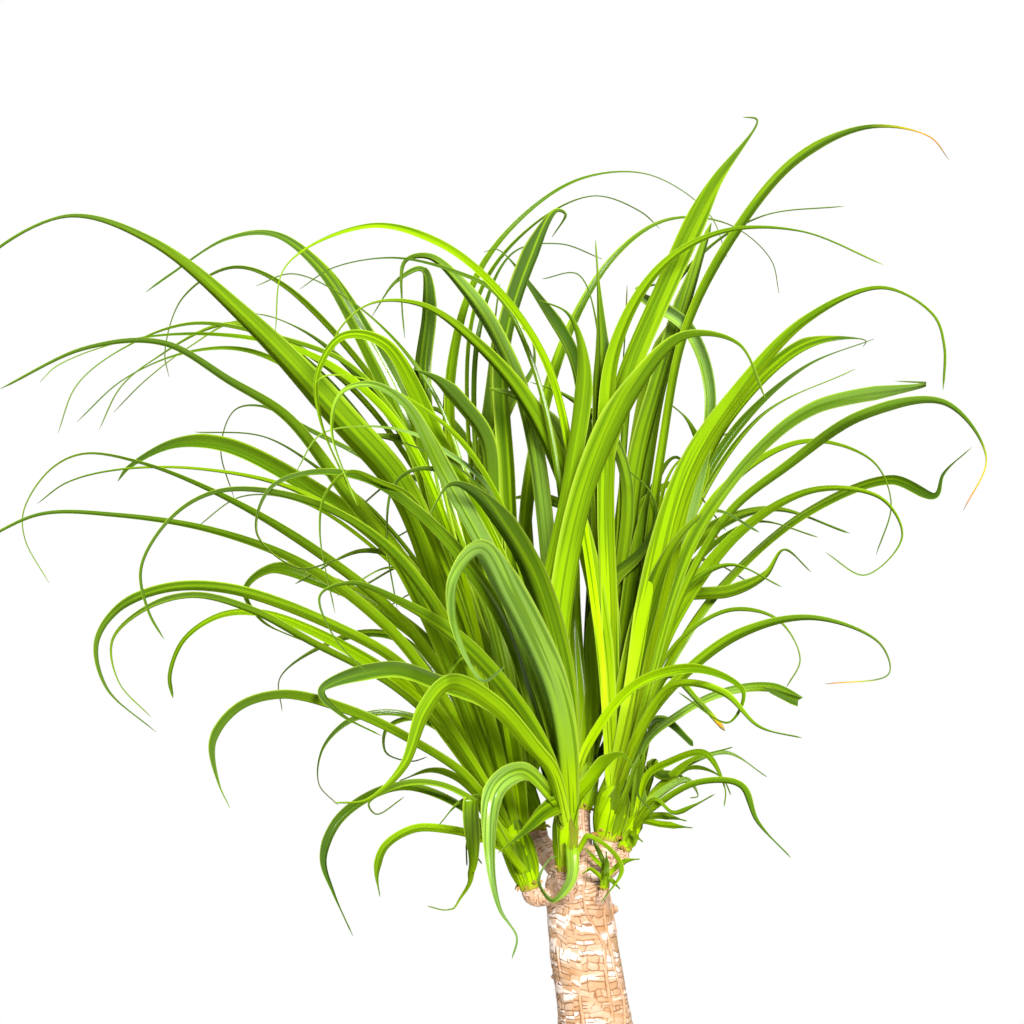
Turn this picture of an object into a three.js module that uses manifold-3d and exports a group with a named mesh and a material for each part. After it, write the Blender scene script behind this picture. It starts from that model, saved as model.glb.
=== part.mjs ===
// Potted ponytail palm (Beaucarnea), a woody stem with several heads of strap leaves, in a plain round pot.
// Millimetres, +Z up, +X to the right and the front towards -Y. The origin is the centre of the pot's
// underside.
import * as THREE from 'three';
import { mergeVertices } from 'three/addons/utils/BufferGeometryUtils.js';
import Module from 'manifold-3d';

const wasm = await Module();
wasm.setup();

// The photograph's frame: real size of one pixel at the stem, and where its middle lies on the plant.
const PIXEL = 0.7;
const FRAME_MIDDLE = 512;
const MIDDLE_X = -75.6;
const MIDDLE_Z = 788.4;
const VIEW_DISTANCE = 3000;

// Gap between pieces that touch, and the wider one round the stem's foot, whose sides are flatter than its
// hole's.
const GAP = 0.3;
const HOLE_ROOM = 1.2;

// The pot is a tapered round one with a plain rim band. easing is the size of its softened corners.
const POT = {
  height: 218, topRadius: 122, footRadius: 88, wall: 8, floor: 12,
  rimHeight: 30, rimBulge: 5, easing: 3, sides: 36,
};
// The soil's top, and how much it is mounded, over what width, round the stem.
const SOIL = { top: 190, mound: 4, moundWidth: 14 };

// The stem: radius at each height, with the swollen foot below the soil's top, and the lean of its upper
// part.
const FOOT_BOTTOM = 92;
const STEM_PROFILE = [
  [FOOT_BOTTOM, 16], [100, 36], [124, 54], [160, 65], [190, 67], [214, 59], [240, 46.5], [272, 37.5],
  [320, 31], [372, 28], [430, 26], [478, 24.4], [524, 22.8], [538, 21.5], [549, 16], [555, 9],
];
const STEM_LINE = [[FOOT_BOTTOM, 0], [200, 0], [300, -7], [430, -17.5], [524, -29.4], [555, -25]];
const STEM_SIDES = 14;
const SCAR_PITCH = 16;
const SCAR_DEPTH = 1.1;
const SCAR_LIP = 0.5;
const LIP_SHARE = 0.3;
const STEM_UNEVEN = 0.5;
const SCAR_START = 208;
const SCAR_END = 530;

// Leaves: thickness at the midrib, depth of the channel for each mm of width, the width that none passes,
// and the length under which a leaf counts as short. DEPTH_SPREAD widens every head from front to back.
const RIB_THICK = 1.3;
const CHANNEL = 0.11;
const WIDEST = 24;
const DEPTH_SPREAD = 1.3;
const SHORT_LEAF = 130;
const HEART_SIDES = 9;

// Stations of a leaf: fine points on its midline, the fewest and most stations, more of them the more it
// bends, and how much of a bend each mm of length counts for.
const FINE_POINTS = 80;
const FEWEST_STATIONS = 3;
const MOST_STATIONS = 9;
const MOST_ON_SHORT = 5;
const STATIONS_AT_LEAST = 2.3;
const STATIONS_PER_BEND = 1.18;
const LENGTH_WEIGHT = 0.0045;

// Outline of a leaf. Its blade is open by one share of its length and fades from another, where its row
// says nothing else, and a leaf slimmer than SLIM fades later. TAPER is how fast it fades.
const OPEN_BY = 0.25;
const FADE = 0.5;
const SLIM = 7;
const SLIM_FADE = 0.7;
const TAPER = 1.5;
const OPEN_START = 0.7;
const OPEN_FALL = 0.4;

// Bending leaves clear: the room kept between leaves, the length by each root where leaves of one head may
// meet, the part of each push that goes sideways and up, the furthest push in one round, and the number of
// rounds.
const CLEARANCE = 1.6;
const ROOT_ROOM = 70;
const SIDEWAYS_PUSH = 0.35;
const LEAST_DEPTH_PUSH = 0.25;
const LONGEST_PUSH = 4;
const SEARCH_ROOM = 12;
const ROUNDS = 90;
const ROUNDS_BETWEEN_SEARCHES = 8;
const STIFF_ROOT = [8, 60];

// Heads of leaves. base and top are the ends of the heart: photograph x and y in pixels, and depth behind
// the stem in mm. stub is where the woody fork leaves the stem. filler leaves stand where no leaf was
// traced.
const HEADS = {
  left_crown: {
    base: [531, 888, -10], top: [509, 818, -15], radius: 7.5, swell: 10, stub: [566, 891, -3], wood: 6.5,
    filler: { count: 4, from: 105, to: 250, reach: 170, rise: 190 },
  },
  front_crown: {
    base: [566, 870, -27], top: [567, 800, -35], radius: 6.5, swell: 8, stub: [572, 902, -8], wood: 9,
    filler: { count: 0, from: 0, to: 0, reach: 0, rise: 0 },
  },
  right_crown: {
    base: [606, 839, 4], top: [617, 786, 2], radius: 8.5, swell: 11, stub: [590, 884, 2], wood: 10.5,
    filler: { count: 4, from: -70, to: 75, reach: 170, rise: 190 },
  },
  back_left_crown: {
    base: [536, 834, 30], top: [518, 778, 46], radius: 8, swell: 10, stub: [572, 880, 8], wood: 10,
    filler: { count: 7, from: 85, to: 175, reach: 200, rise: 230 },
  },
  back_right_crown: {
    base: [581, 812, 30], top: [588, 760, 46], radius: 6.5, swell: 9.5, stub: [584, 880, 8], wood: 9,
    filler: { count: 7, from: 20, to: 100, reach: 200, rise: 230 },
  },
  side_shoot: {
    base: [623, 850, 10], top: [638, 814, 13], radius: 5, swell: 6, stub: [598, 876, 6], wood: 8,
    filler: { count: 2, from: 20, to: 130, reach: 60, rise: 50 },
  },
  basal_sprout: {
    base: [604, 888, -24], top: [606, 868, -29], radius: 3, swell: 3.4, stub: [594, 904, -10], wood: 5,
    filler: { count: 0, from: 0, to: 0, reach: 0, rise: 0 },
  },
};

// Traced leaves: [widest part in mm, how far the tip lies behind (+) or before (-) the heart in mm, midline
// from above the heart to the tip as photograph x and y in pixels, and, where they aren't the usual ones,
// the share of its width left at a blunt tip, and the shares of its length from which it fades and by which
// it opens].
const TRACED_LEAVES = {
  left_crown: [
    [20, -25, [473, 726, 443, 610, 400, 492, 340, 420, 249, 323, 153, 243, 71, 216, 0, 247, -22, 272], 0,
      0.55],
    [14, -90, [470, 720, 440, 640, 402, 564, 348, 495, 287, 417, 230, 381, 163, 343, 86, 348, 0, 389],
      0.12, 0.35],
    [6.5, 50, [450, 540, 400, 430, 340, 372, 282, 345, 201, 334, 125, 341, 57, 366, 40, 382], 0, 0.6],
    [4.5, 20, [460, 590, 400, 470, 330, 395, 249, 351, 185, 353, 123, 380, 77, 422]],
    [9, -50, [480, 760, 430, 680, 385, 625, 302, 564, 211, 530, 116, 515, 41, 514, -18, 540], 0.2, 0.4],
    [6.5, 0, [470, 720, 400, 620, 318, 553, 226, 498, 141, 463, 83, 454, 50, 470, 24, 510, 25, 539, 49,
      583], 0.1, 0.5],
    [8.5, 45, [475, 700, 430, 610, 380, 545, 295, 490, 199, 469, 116, 470, 66, 483, 37, 504], 0.1, 0.3],
    [10.5, 80, [485, 720, 440, 620, 390, 550, 302, 484, 224, 446, 174, 445, 129, 468, 118, 481], 0.3, 0.85],
    [3, 100, [450, 620, 380, 520, 322, 472, 264, 437, 194, 432]],
    [11, -130, [480, 700, 430, 600, 379, 541, 310, 502, 232, 490, 191, 503, 158, 534, 141, 571, 149, 612,
      164, 639], 0.15, 0.3],
    [3, 120, [430, 610, 370, 545, 302, 502, 241, 497, 197, 527]],
    [6.5, -110, [470, 640, 410, 502, 379, 484, 348, 473, 325, 496, 320, 533, 335, 613], 0, 0.6],
    [8, -100, [500, 810, 450, 730, 400, 665, 330, 625, 232, 590, 166, 589, 119, 609, 97, 643, 107, 688,
      156, 732], 0, 0.76],
    [5, -40, [495, 810, 440, 730, 390, 685, 312, 643, 250, 610, 194, 596, 148, 608, 113, 640, 119, 682,
      151, 717], 0, 0.75],
    [11.5, 30, [480, 780, 430, 710, 390, 676, 312, 631, 259, 613, 219, 616, 184, 640, 170, 675, 173, 698],
      0.25, 0.3],
    [11, 90, [470, 700, 420, 640, 370, 605, 325, 584, 272, 570, 246, 590, 262, 620, 306, 642], 0, 0.74],
    [6.5, -130, [485, 800, 460, 772, 407, 739, 349, 712, 283, 696, 238, 709, 214, 742, 219, 783, 230,
      808], 0, 0.85],
    [6, -90, [500, 845, 458, 806, 405, 787, 369, 797, 337, 823, 324, 859, 334, 893, 353, 936], 0, 0.75],
    [6, -40, [505, 850, 484, 839, 450, 830, 414, 829, 385, 847, 377, 872, 380, 897], 0, 0.85],
    [7.5, -70, [505, 871, 490, 873, 473, 884, 450, 909, 427, 906], 0, 0.6, 0.4],
    [3.5, 50, [480, 790, 450, 740, 415, 719, 387, 729, 386, 752, 411, 761, 427, 757]],
    [4.5, 20, [480, 780, 440, 730, 391, 713, 349, 722, 323, 749, 319, 784, 338, 805]],
    [6.5, 90, [480, 800, 455, 778, 430, 771, 399, 781]],
    [4, -100, [485, 810, 440, 785, 400, 785, 369, 804, 376, 814, 404, 797]],
    [4, -50, [490, 800, 478, 797, 458, 804, 439, 825]],
    [3.5, -35, [490, 835, 473, 831, 467, 845, 467, 866]],
    [3.5, 15, [490, 842, 480, 841, 474, 850, 482, 864]],
  ],
  front_crown: [
    [12, 70, [555, 640, 530, 420, 500, 340, 465, 288, 430, 257, 405, 262, 402, 302, 405, 339], 0, 0.75],
    [4, 40, [560, 500, 530, 360, 496, 294, 455, 272, 394, 258, 333, 268, 300, 289]],
    [11.5, -100, [545, 770, 513, 650, 485, 594, 436, 531, 371, 481, 310, 473, 269, 490, 257, 533, 299,
      568, 341, 558], 0, 0.45],
    [14, -60, [548, 740, 520, 620, 484, 535, 440, 450, 384, 345, 343, 337, 318, 374, 321, 421, 358, 506],
      0, 0.58],
    [13, -120, [550, 720, 500, 580, 445, 476, 404, 404, 369, 385, 341, 394, 332, 430, 357, 505], 0, 0.62],
    [6, -30, [552, 760, 540, 640, 510, 540, 476, 488, 420, 469, 394, 486, 387, 541, 397, 609], 0, 0.6],
    [10.5, -110, [551, 770, 534, 748, 491, 704, 440, 683, 391, 669, 322, 691, 341, 714, 382, 736], 0, 0.72],
    [12, -170, [551, 772, 534, 750, 495, 706, 450, 684, 425, 712, 405, 765, 369, 799, 333, 803], 0, 0.68],
    [13.5, -90, [552, 800, 522, 773, 495, 793, 491, 863, 500, 909, 517, 938, 512, 959], 0, 0.48, 0.4],
    [10, -150, [555, 775, 534, 730, 495, 676, 449, 631, 399, 601, 350, 583, 320, 596, 333, 635, 371, 677],
      0, 0.45],
    [11.5, -15, [558, 720, 546, 640, 545, 601, 569, 482, 583, 360, 568, 314, 539, 300], 0, 0.8, 0.5],
    [21, -45, [564, 720, 561, 650, 574, 545, 595, 468, 635, 388, 684, 337, 738, 344, 765, 398], 0, 0.64],
    [23, -160, [562, 740, 548, 680, 506, 592, 478, 551, 455, 580, 455, 624, 482, 680, 504, 667], 0, 0.55,
      0.35],
    [19, -105, [563, 720, 553, 650, 527, 566, 478, 496, 450, 485, 429, 516], 0, 0.75],
    [6.5, -100, [575, 785, 590, 742, 636, 685, 698, 669, 743, 692, 729, 722, 678, 692], 0, 0.6],
    [3.5, -15, [573, 860, 588, 842, 611, 850, 621, 870, 601, 903]],
    [9, -28, [569, 853, 569, 887, 553, 900, 539, 881, 550, 859, 557, 856]],
    [12, -60, [560, 806, 545, 812, 528, 828, 512, 842, 498, 853], 0, 0.4, 0.3],
    [10, -30, [576, 800, 590, 782, 606, 762, 622, 755, 634, 768], 0, 0.7],
    [3.5, -75, [545, 620, 500, 502, 460, 440, 414, 402, 365, 379, 325, 376, 315, 383]],
    [3.5, -60, [540, 640, 492, 490, 440, 447, 410, 432, 362, 426, 320, 435, 296, 472]],
    [3, -45, [545, 640, 505, 520, 478, 486, 450, 462, 400, 441]],
  ],
  right_crown: [
    [6, -60, [600, 650, 575, 480, 545, 360, 490, 282, 435, 241, 369, 226, 286, 266, 275, 334], 0, 0.75],
    [15.5, 10, [605, 650, 598, 480, 622, 382, 662, 289, 712, 186, 757, 120, 743, 117], 0, 0.82, 0.5],
    [9.5, 40, [650, 640, 690, 520, 709, 390, 685, 325, 637, 291, 669, 282], 0, 0.9, 0.85],
    [14, 0, [607, 640, 600, 500, 601, 350, 596, 240], 0, 0.75, 0.6],
    [12, -40, [610, 620, 607, 480, 615, 350, 660, 268, 721, 232, 800, 231, 884, 265], 0, 0.5],
    [13, -20, [605, 640, 580, 520, 534, 411, 478, 344, 422, 305, 370, 304, 338, 332, 334, 352], 0, 0.6],
    [14, 10, [612, 640, 590, 500, 555, 433, 520, 400, 489, 389], 0.2, 0.85, 0.5],
    [7, 60, [640, 600, 660, 450, 685, 332, 739, 229, 800, 158, 870, 127, 930, 137, 949, 160], 0, 0.82],
    [23, -60, [640, 680, 655, 600, 690, 470, 738, 394, 805, 321, 882, 288, 933, 315, 944, 346, 943, 390],
      0, 0.32],
    [10, 70, [650, 640, 690, 500, 729, 419, 805, 346, 866, 341, 863, 347], 0, 0.88, 0.5],
    [9.5, -140, [645, 700, 675, 590, 700, 528, 757, 451, 815, 407, 926, 384, 895, 381], 0, 0.86, 0.8],
    [7, -90, [650, 700, 680, 600, 729, 514, 786, 467, 863, 415, 945, 403, 986, 457, 963, 511], 0, 0.74,
      0.65],
    [8.5, 25, [645, 690, 680, 570, 729, 486, 805, 442, 872, 461, 891, 503, 876, 555], 0, 0.5],
    [9.5, -10, [645, 700, 673, 623, 738, 534, 815, 490, 882, 499, 902, 537, 865, 575, 825, 552], 0, 0.45],
    [7, 110, [645, 720, 670, 663, 723, 585, 805, 513, 891, 479, 935, 495, 943, 474, 972, 447], 0, 0.86],
    [7, -130, [640, 731, 673, 686, 740, 634, 814, 618, 880, 644, 889, 673, 825, 684]],
    [5, -150, [640, 730, 673, 686, 723, 693, 758, 726, 802, 738]],
    [9, 60, [640, 680, 671, 603, 733, 591, 766, 575, 784, 550, 811, 572], 0, 0.75, 0.4],
    [3, 30, [645, 700, 680, 640, 731, 610, 778, 620, 800, 659, 786, 688]],
    [6.5, -50, [640, 740, 668, 676, 698, 702, 725, 731], 0.5],
    [7, 60, [660, 620, 695, 500, 704, 465, 688, 421, 668, 402], 0, 0.85, 0.7],
    [3, 90, [650, 560, 672, 470, 705, 445, 735, 430]],
    [3.5, -30, [622, 815, 636, 798, 650, 809, 652, 820]],
  ],
  back_left_crown: [
    [20, 60, [490, 690, 455, 560, 420, 450, 363, 333, 322, 270, 275, 235, 227, 239, 170, 275, 146, 292],
      0, 0.58],
    [5.5, 130, [480, 620, 430, 480, 380, 385, 282, 284, 231, 268, 182, 299, 165, 352, 169, 377]],
    [3.5, 50, [470, 560, 400, 420, 350, 365, 275, 337, 191, 324, 124, 348, 77, 385, 58, 433]],
    [4.5, 150, [460, 560, 380, 420, 310, 355, 228, 324, 153, 360, 120, 388, 99, 430]],
    [3.5, 190, [455, 580, 370, 430, 300, 355, 240, 322, 191, 346, 146, 380, 114, 412]],
    [3, 30, [450, 430, 404, 351, 343, 296, 292, 274, 256, 286]],
    [12, 20, [500, 700, 450, 560, 425, 450, 420, 374, 427, 307, 422, 270, 396, 282, 372, 316], 0, 0.83],
    [3.5, 110, [450, 560, 380, 470, 310, 430, 260, 406, 234, 411, 221, 449, 234, 498]],
    [5.5, 140, [470, 740, 432, 673, 399, 640, 350, 637, 280, 678, 282, 711]],
    [7.5, 60, [490, 650, 455, 480, 452, 370, 480, 271, 534, 207, 587, 177, 650, 175, 709, 214, 727, 257],
      0, 0.5],
    [3.5, 100, [500, 650, 470, 450, 480, 296, 534, 225, 594, 196, 641, 212, 660, 229]],
    [12.5, 0, [520, 640, 510, 480, 505, 350, 530, 261, 557, 211, 565, 214, 552, 237], 0, 0.87, 0.5],
    [8, 120, [510, 700, 522, 560, 535, 450, 567, 337, 614, 257, 667, 220, 730, 225, 771, 260, 779, 293],
      0, 0.55],
    [11, -10, [500, 600, 492, 500, 486, 440, 464, 407, 436, 379, 408, 367], 0, 0.9, 0.8],
    [9, 30, [480, 560, 484, 470, 503, 411, 533, 365, 531, 338, 520, 326], 0, 0.8, 0.6],
    [3.5, 80, [480, 500, 480, 330, 512, 254, 560, 244, 602, 259]],
    [9, 60, [480, 620, 430, 480, 395, 420, 350, 368, 310, 335, 275, 318, 253, 313], 0, 0.7, 0.5],
    [9, 40, [500, 640, 485, 540, 465, 485, 440, 455, 400, 440, 365, 434, 343, 430], 0, 0.85, 0.6],
    [13, 60, [505, 690, 490, 580, 481, 480, 484, 400, 490, 330, 497, 283], 0, 0.7],
    [9, 30, [505, 700, 475, 570, 448, 470, 442, 400, 450, 350, 463, 318], 0, 0.7, 0.5],
    [10, 90, [545, 700, 528, 580, 524, 500, 533, 440, 540, 395], 0, 0.7, 0.5],
  ],
  back_right_crown: [
    [9, 20, [605, 600, 590, 450, 576, 361, 541, 302, 498, 250, 484, 252], 0, 0.82, 0.5],
    [3, 60, [600, 480, 600, 350, 580, 276, 542, 279]],
    [13, 30, [615, 640, 635, 471, 662, 372, 694, 275, 711, 223], 0.3, 0.85, 0.5],
    [20, 90, [620, 640, 640, 500, 660, 380, 682, 323, 702, 261], 0.2, 0.82, 0.5],
    [4, 60, [620, 500, 640, 350, 694, 262, 760, 217, 845, 206]],
    [7.5, 130, [655, 640, 690, 510, 738, 428, 805, 367, 874, 339], 0, 0.7],
    [4, 190, [655, 650, 685, 530, 757, 419, 855, 369]],
    [9, 10, [615, 600, 625, 480, 603, 427, 564, 395, 530, 382], 0, 0.8, 0.6],
    [11, -20, [592, 700, 594, 620, 615, 580, 645, 552, 657, 520, 650, 492, 628, 470], 0, 0.6, 0.4],
    [9, 60, [585, 640, 588, 560, 575, 515, 550, 501, 528, 497, 509, 499], 0.2, 0.85, 0.6],
    [6, 10, [618, 560, 622, 450, 622, 380, 625, 330, 627, 285], 0, 0.5],
  ],
  side_shoot: [
    [7.5, -25, [640, 754, 681, 714, 723, 692, 773, 687, 799, 701, 763, 687], 0.5, 0.9, 0.85],
    [8, 10, [640, 760, 650, 726, 663, 721, 693, 746], 0.6],
    [7, 30, [655, 796, 690, 761, 733, 747]],
    [5, -45, [648, 775, 667, 763, 705, 754, 725, 789, 724, 807]],
    [3, 50, [655, 790, 692, 763, 727, 753, 767, 777]],
    [4.5, -70, [653, 809, 698, 783, 741, 786, 757, 821, 791, 858]],
    [3.5, 70, [660, 795, 690, 768, 722, 778, 731, 795]],
    [3.5, -50, [655, 800, 673, 813, 693, 806, 715, 794]],
    [4.5, -10, [660, 795, 687, 781, 698, 796, 690, 798]],
    [4.5, -30, [645, 818, 663, 816, 687, 821]],
    [4.5, 20, [640, 822, 660, 825, 693, 828]],
    [3, -15, [630, 833, 643, 842]],
    [7, 0, [640, 812, 640, 790, 640, 768], 0.6],
  ],
  basal_sprout: [
    [3, -6, [605, 870, 595, 860, 584, 848]],
    [3, -2, [605, 868, 597, 848, 590, 834]],
    [3.5, -8, [606, 872, 606, 851]],
    [3.5, -10, [608, 876, 628, 861, 640, 859]],
    [3, -12, [602, 879, 588, 871, 582, 874]],
    [3, -10, [610, 880, 620, 889]],
  ],
};

// Seeds of each head's random draws.
const HEAD_SEEDS = {
  left_crown: 11, front_crown: 23, right_crown: 37, back_left_crown: 41, back_right_crown: 59,
  side_shoot: 67, basal_sprout: 71,
};

const COLOURS = {
  pot: [0xd8d2c6, 0.45],
  soil: [0x3a2a1d, 0.95],
  trunk: [0xc9a17c, 0.85],
  leaf: [0x6fae1c, 0.42],
};

const clamp = THREE.MathUtils.clamp;
const lerp = THREE.MathUtils.lerp;
const VIEW = new THREE.Vector3(0, 1, 0);
const RIGHT = new THREE.Vector3(1, 0, 0);
const UP = new THREE.Vector3(0, 0, 1);

// A repeatable row of numbers from 0 to 1.
function randomFrom(seed) {
  let state = seed;
  return () => {
    state = (Math.imul(state, 1664525) + 1013904223) >>> 0;
    return state / 4294967296;
  };
}

// Value at a height from rows of [height, value], joined by straight lines.
function along(rows, height) {
  for (let row = 1; row < rows.length; row++) {
    if (height <= rows[row][0] || row === rows.length - 1) {
      const [lowHeight, lowValue] = rows[row - 1];
      const [highHeight, highValue] = rows[row];
      return lerp(lowValue, highValue, clamp((height - lowHeight) / (highHeight - lowHeight), 0, 1));
    }
  }
  return rows[0][1];
}

// A point of the photograph, at a depth behind the stem, as a point of the plant.
function fromPhoto(px, py, depth) {
  const scale = PIXEL * (VIEW_DISTANCE + depth) / VIEW_DISTANCE;
  const x = MIDDLE_X + (px - FRAME_MIDDLE) * scale;
  const z = MIDDLE_Z + (FRAME_MIDDLE - py) * scale;
  return new THREE.Vector3(x, depth, z);
}

// Closed solid over rings of points, with flat ends, or with a point where tip is given. The diagonals
// alternate, so both faces of a thin blade are split alike.
function loft(rings, tip) {
  const sides = rings[0].length;
  const points = rings.flat();
  const triangles = [];
  for (let ring = 0; ring + 1 < rings.length; ring++) {
    for (let side = 0; side < sides; side++) {
      const a = ring * sides + side;
      const b = ring * sides + (side + 1) % sides;
      const c = b + sides;
      const d = a + sides;
      if (side % 2) triangles.push(a, b, d, b, c, d);
      else triangles.push(a, b, c, a, c, d);
    }
  }
  const pivot = sides - 1;
  const last = (rings.length - 1) * sides;
  for (let side = 0; side + 2 < sides; side++) triangles.push(pivot, side + 1, side);
  if (tip) {
    points.push(tip);
    for (let side = 0; side < sides; side++) {
      triangles.push(last + side, last + (side + 1) % sides, points.length - 1);
    }
  } else {
    for (let side = 0; side + 2 < sides; side++) triangles.push(last + pivot, last + side, last + side + 1);
  }
  const positions = points.flatMap((point) => [point.x, point.y, point.z]);
  return toSolid(new Float32Array(positions), new Uint32Array(triangles));
}

// A manifold solid from positions and triangles, turned right side out.
function toSolid(vertProperties, triVerts) {
  const solid = new wasm.Manifold(new wasm.Mesh({ numProp: 3, vertProperties, triVerts }));
  if (solid.volume() > 0) return solid;
  const turned = new Uint32Array(triVerts);
  for (let at = 0; at < turned.length; at += 3) [turned[at], turned[at + 1]] = [turned[at + 1], turned[at]];
  return new wasm.Manifold(new wasm.Mesh({ numProp: 3, vertProperties, triVerts: turned }));
}

// A turned solid from rows of [radius, height], first and last on the axis.
function turned(profile, sides) {
  const outline = profile.map(([radius, height]) => new THREE.Vector2(radius, height));
  const lathe = new THREE.LatheGeometry(outline, sides);
  lathe.rotateX(Math.PI / 2);
  lathe.deleteAttribute('normal');
  lathe.deleteAttribute('uv');
  const welded = mergeVertices(lathe, 1e-4);
  const triangles = [];
  for (let at = 0; at < welded.index.count; at += 3) {
    const [a, b, c] = [0, 1, 2].map((corner) => welded.index.getX(at + corner));
    if (a !== b && b !== c && c !== a) triangles.push(a, b, c);
  }
  return toSolid(new Float32Array(welded.attributes.position.array), new Uint32Array(triangles));
}

// Ring of points round a centre, square to a direction.
function ringAt(centre, direction, radius, sides, relief = () => 0) {
  const across = direction.clone().cross(RIGHT).normalize();
  const over = direction.clone().cross(across);
  const ring = [];
  for (let side = 0; side < sides; side++) {
    const angle = side / sides * 2 * Math.PI;
    const reach = radius + relief(angle);
    ring.push(centre.clone().addScaledVector(across, Math.sin(angle) * reach)
      .addScaledVector(over, Math.cos(angle) * reach));
  }
  return ring;
}

function makePot() {
  const { height, topRadius, footRadius, wall, floor, rimHeight, rimBulge, easing, sides } = POT;
  const rimFoot = height - rimHeight;
  const rimRadius = lerp(footRadius, topRadius, rimFoot / height);
  return turned([
    [0, 0], [footRadius - easing, 0], [footRadius, easing],
    [rimRadius, rimFoot], [rimRadius + rimBulge, rimFoot + easing],
    [topRadius + rimBulge, height - easing], [topRadius + rimBulge - easing, height],
    [topRadius - wall + easing, height], [topRadius - wall, height - easing],
    [footRadius - wall, floor], [0, floor],
  ], sides);
}

// Soil fills the pot and leaves a plain hole in which the swollen foot stands.
function makeSoil() {
  const { height, topRadius, footRadius, wall, floor, easing, sides } = POT;
  const insideAt = (level) => {
    const share = (level - floor) / (height - easing - floor);
    return lerp(footRadius - wall, topRadius - wall, share) - GAP;
  };
  const bottom = floor + GAP;
  const hole = STEM_PROFILE.filter(([level]) => level < SOIL.top)
    .map(([level, radius]) => [radius + HOLE_ROOM, level - GAP]);
  const mouth = along(STEM_PROFILE, SOIL.top) + HOLE_ROOM;
  return turned([
    [0, bottom], [insideAt(bottom), bottom], [insideAt(SOIL.top), SOIL.top],
    [mouth + SOIL.moundWidth, SOIL.top + SOIL.mound], [mouth, SOIL.top],
    ...hole.reverse(), [0, FOOT_BOTTOM - GAP],
  ], sides);
}

// Stem centre at a height.
function stemAt(level) {
  return new THREE.Vector3(along(STEM_LINE, level), 0, level);
}

// The stem is a stack of rings: leaf scars ring it at an even pitch, each with a lip over a groove.
function makeStemBody() {
  const levels = STEM_PROFILE.map(([level]) => level)
    .filter((level) => level < SCAR_START || level > SCAR_END);
  const plain = levels.length;
  for (let level = SCAR_START; level < SCAR_END; level += SCAR_PITCH) {
    levels.push(level, level + SCAR_PITCH * LIP_SHARE);
  }
  const steps = levels.map((level, at) => {
    if (at < plain) return 0;
    return (at - plain) % 2 ? SCAR_LIP : -SCAR_DEPTH;
  });
  const order = levels.map((level, at) => at).sort((one, two) => levels[one] - levels[two]);
  return loft(order.map((at) => {
    const level = levels[at];
    const shown = level > SOIL.top;
    const uneven = (angle) => (shown ? STEM_UNEVEN * Math.sin(3 * angle + level / 5) + steps[at] : 0);
    return ringAt(stemAt(level), UP, along(STEM_PROFILE, level), STEM_SIDES, uneven);
  }));
}

// The woody fork of one head runs from inside the stem to a flat end just under the heart.
function makeFork(head) {
  const start = fromPhoto(...head.stub);
  const base = fromPhoto(...head.base);
  const top = fromPhoto(...head.top);
  const lean = top.clone().sub(base).normalize();
  const end = base.clone().addScaledVector(lean, -GAP);
  const neck = end.clone().addScaledVector(lean, -head.radius * 0.8);
  const middle = start.clone().lerp(neck, 0.55).addScaledVector(lean, -2);
  const first = neck.clone().sub(start).normalize();
  return loft([
    ringAt(start, first, head.wood * 1.05, HEART_SIDES),
    ringAt(middle, first.clone().add(lean).normalize(), head.wood, HEART_SIDES),
    ringAt(neck, lean, (head.wood + head.radius) / 2, HEART_SIDES),
    ringAt(end, lean, head.radius, HEART_SIDES),
  ]);
}

function makeTrunk() {
  return Object.values(HEADS).reduce((wood, head) => wood.add(makeFork(head)), makeStemBody());
}

// The heart of a head: a sheathed bulb with the leaf bases round it.
function makeHeart(head) {
  const base = fromPhoto(...head.base);
  const top = fromPhoto(...head.top);
  const lean = top.clone().sub(base).normalize();
  const at = (share, radius) => ringAt(base.clone().lerp(top, share), lean, radius, HEART_SIDES);
  return loft([
    at(0, head.radius), at(0.22, (head.radius + head.swell) / 2), at(0.5, head.swell),
    at(0.8, head.swell * 0.92), at(1, head.swell * 0.55),
  ]);
}

// Midline of a traced leaf: its root in the heart, then its route. The depth grows with the way that the
// leaf runs sideways, so that an arching leaf stays about in one upright plane.
function tracedLine(head, route, reach, order) {
  const base = new THREE.Vector2(head.base[0], head.base[1]);
  const heart = new THREE.Vector2(head.top[0], head.top[1]).sub(base);
  const first = new THREE.Vector2(route[0], route[1]).sub(base);
  const level = first.dot(heart) / heart.lengthSq();
  const tier = 0.35 + 0.5 * ((order * 0.618) % 1);
  const share = clamp(Math.min(level - 0.25, tier), 0.12, 0.85);
  const flat = [[base.x + heart.x * share, base.y + heart.y * share]];
  for (let at = 0; at < route.length; at += 2) flat.push([route[at], route[at + 1]]);
  const steps = [0];
  const sideways = [0];
  for (let at = 1; at < flat.length; at++) {
    const across = Math.abs(flat[at][0] - flat[at - 1][0]);
    steps.push(steps[at - 1] + Math.hypot(across, flat[at][1] - flat[at - 1][1]));
    sideways.push(sideways[at - 1] + across);
  }
  const last = flat.length - 1;
  const depth = lerp(head.base[2], head.top[2], share);
  return flat.map(([px, py], at) => {
    const early = 1 - (1 - steps[at] / steps[last]) ** 4;
    const out = 0.3 * early + 0.7 * sideways[at] / sideways[last];
    return fromPhoto(px, py, depth + reach * DEPTH_SPREAD * out);
  });
}

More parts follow.
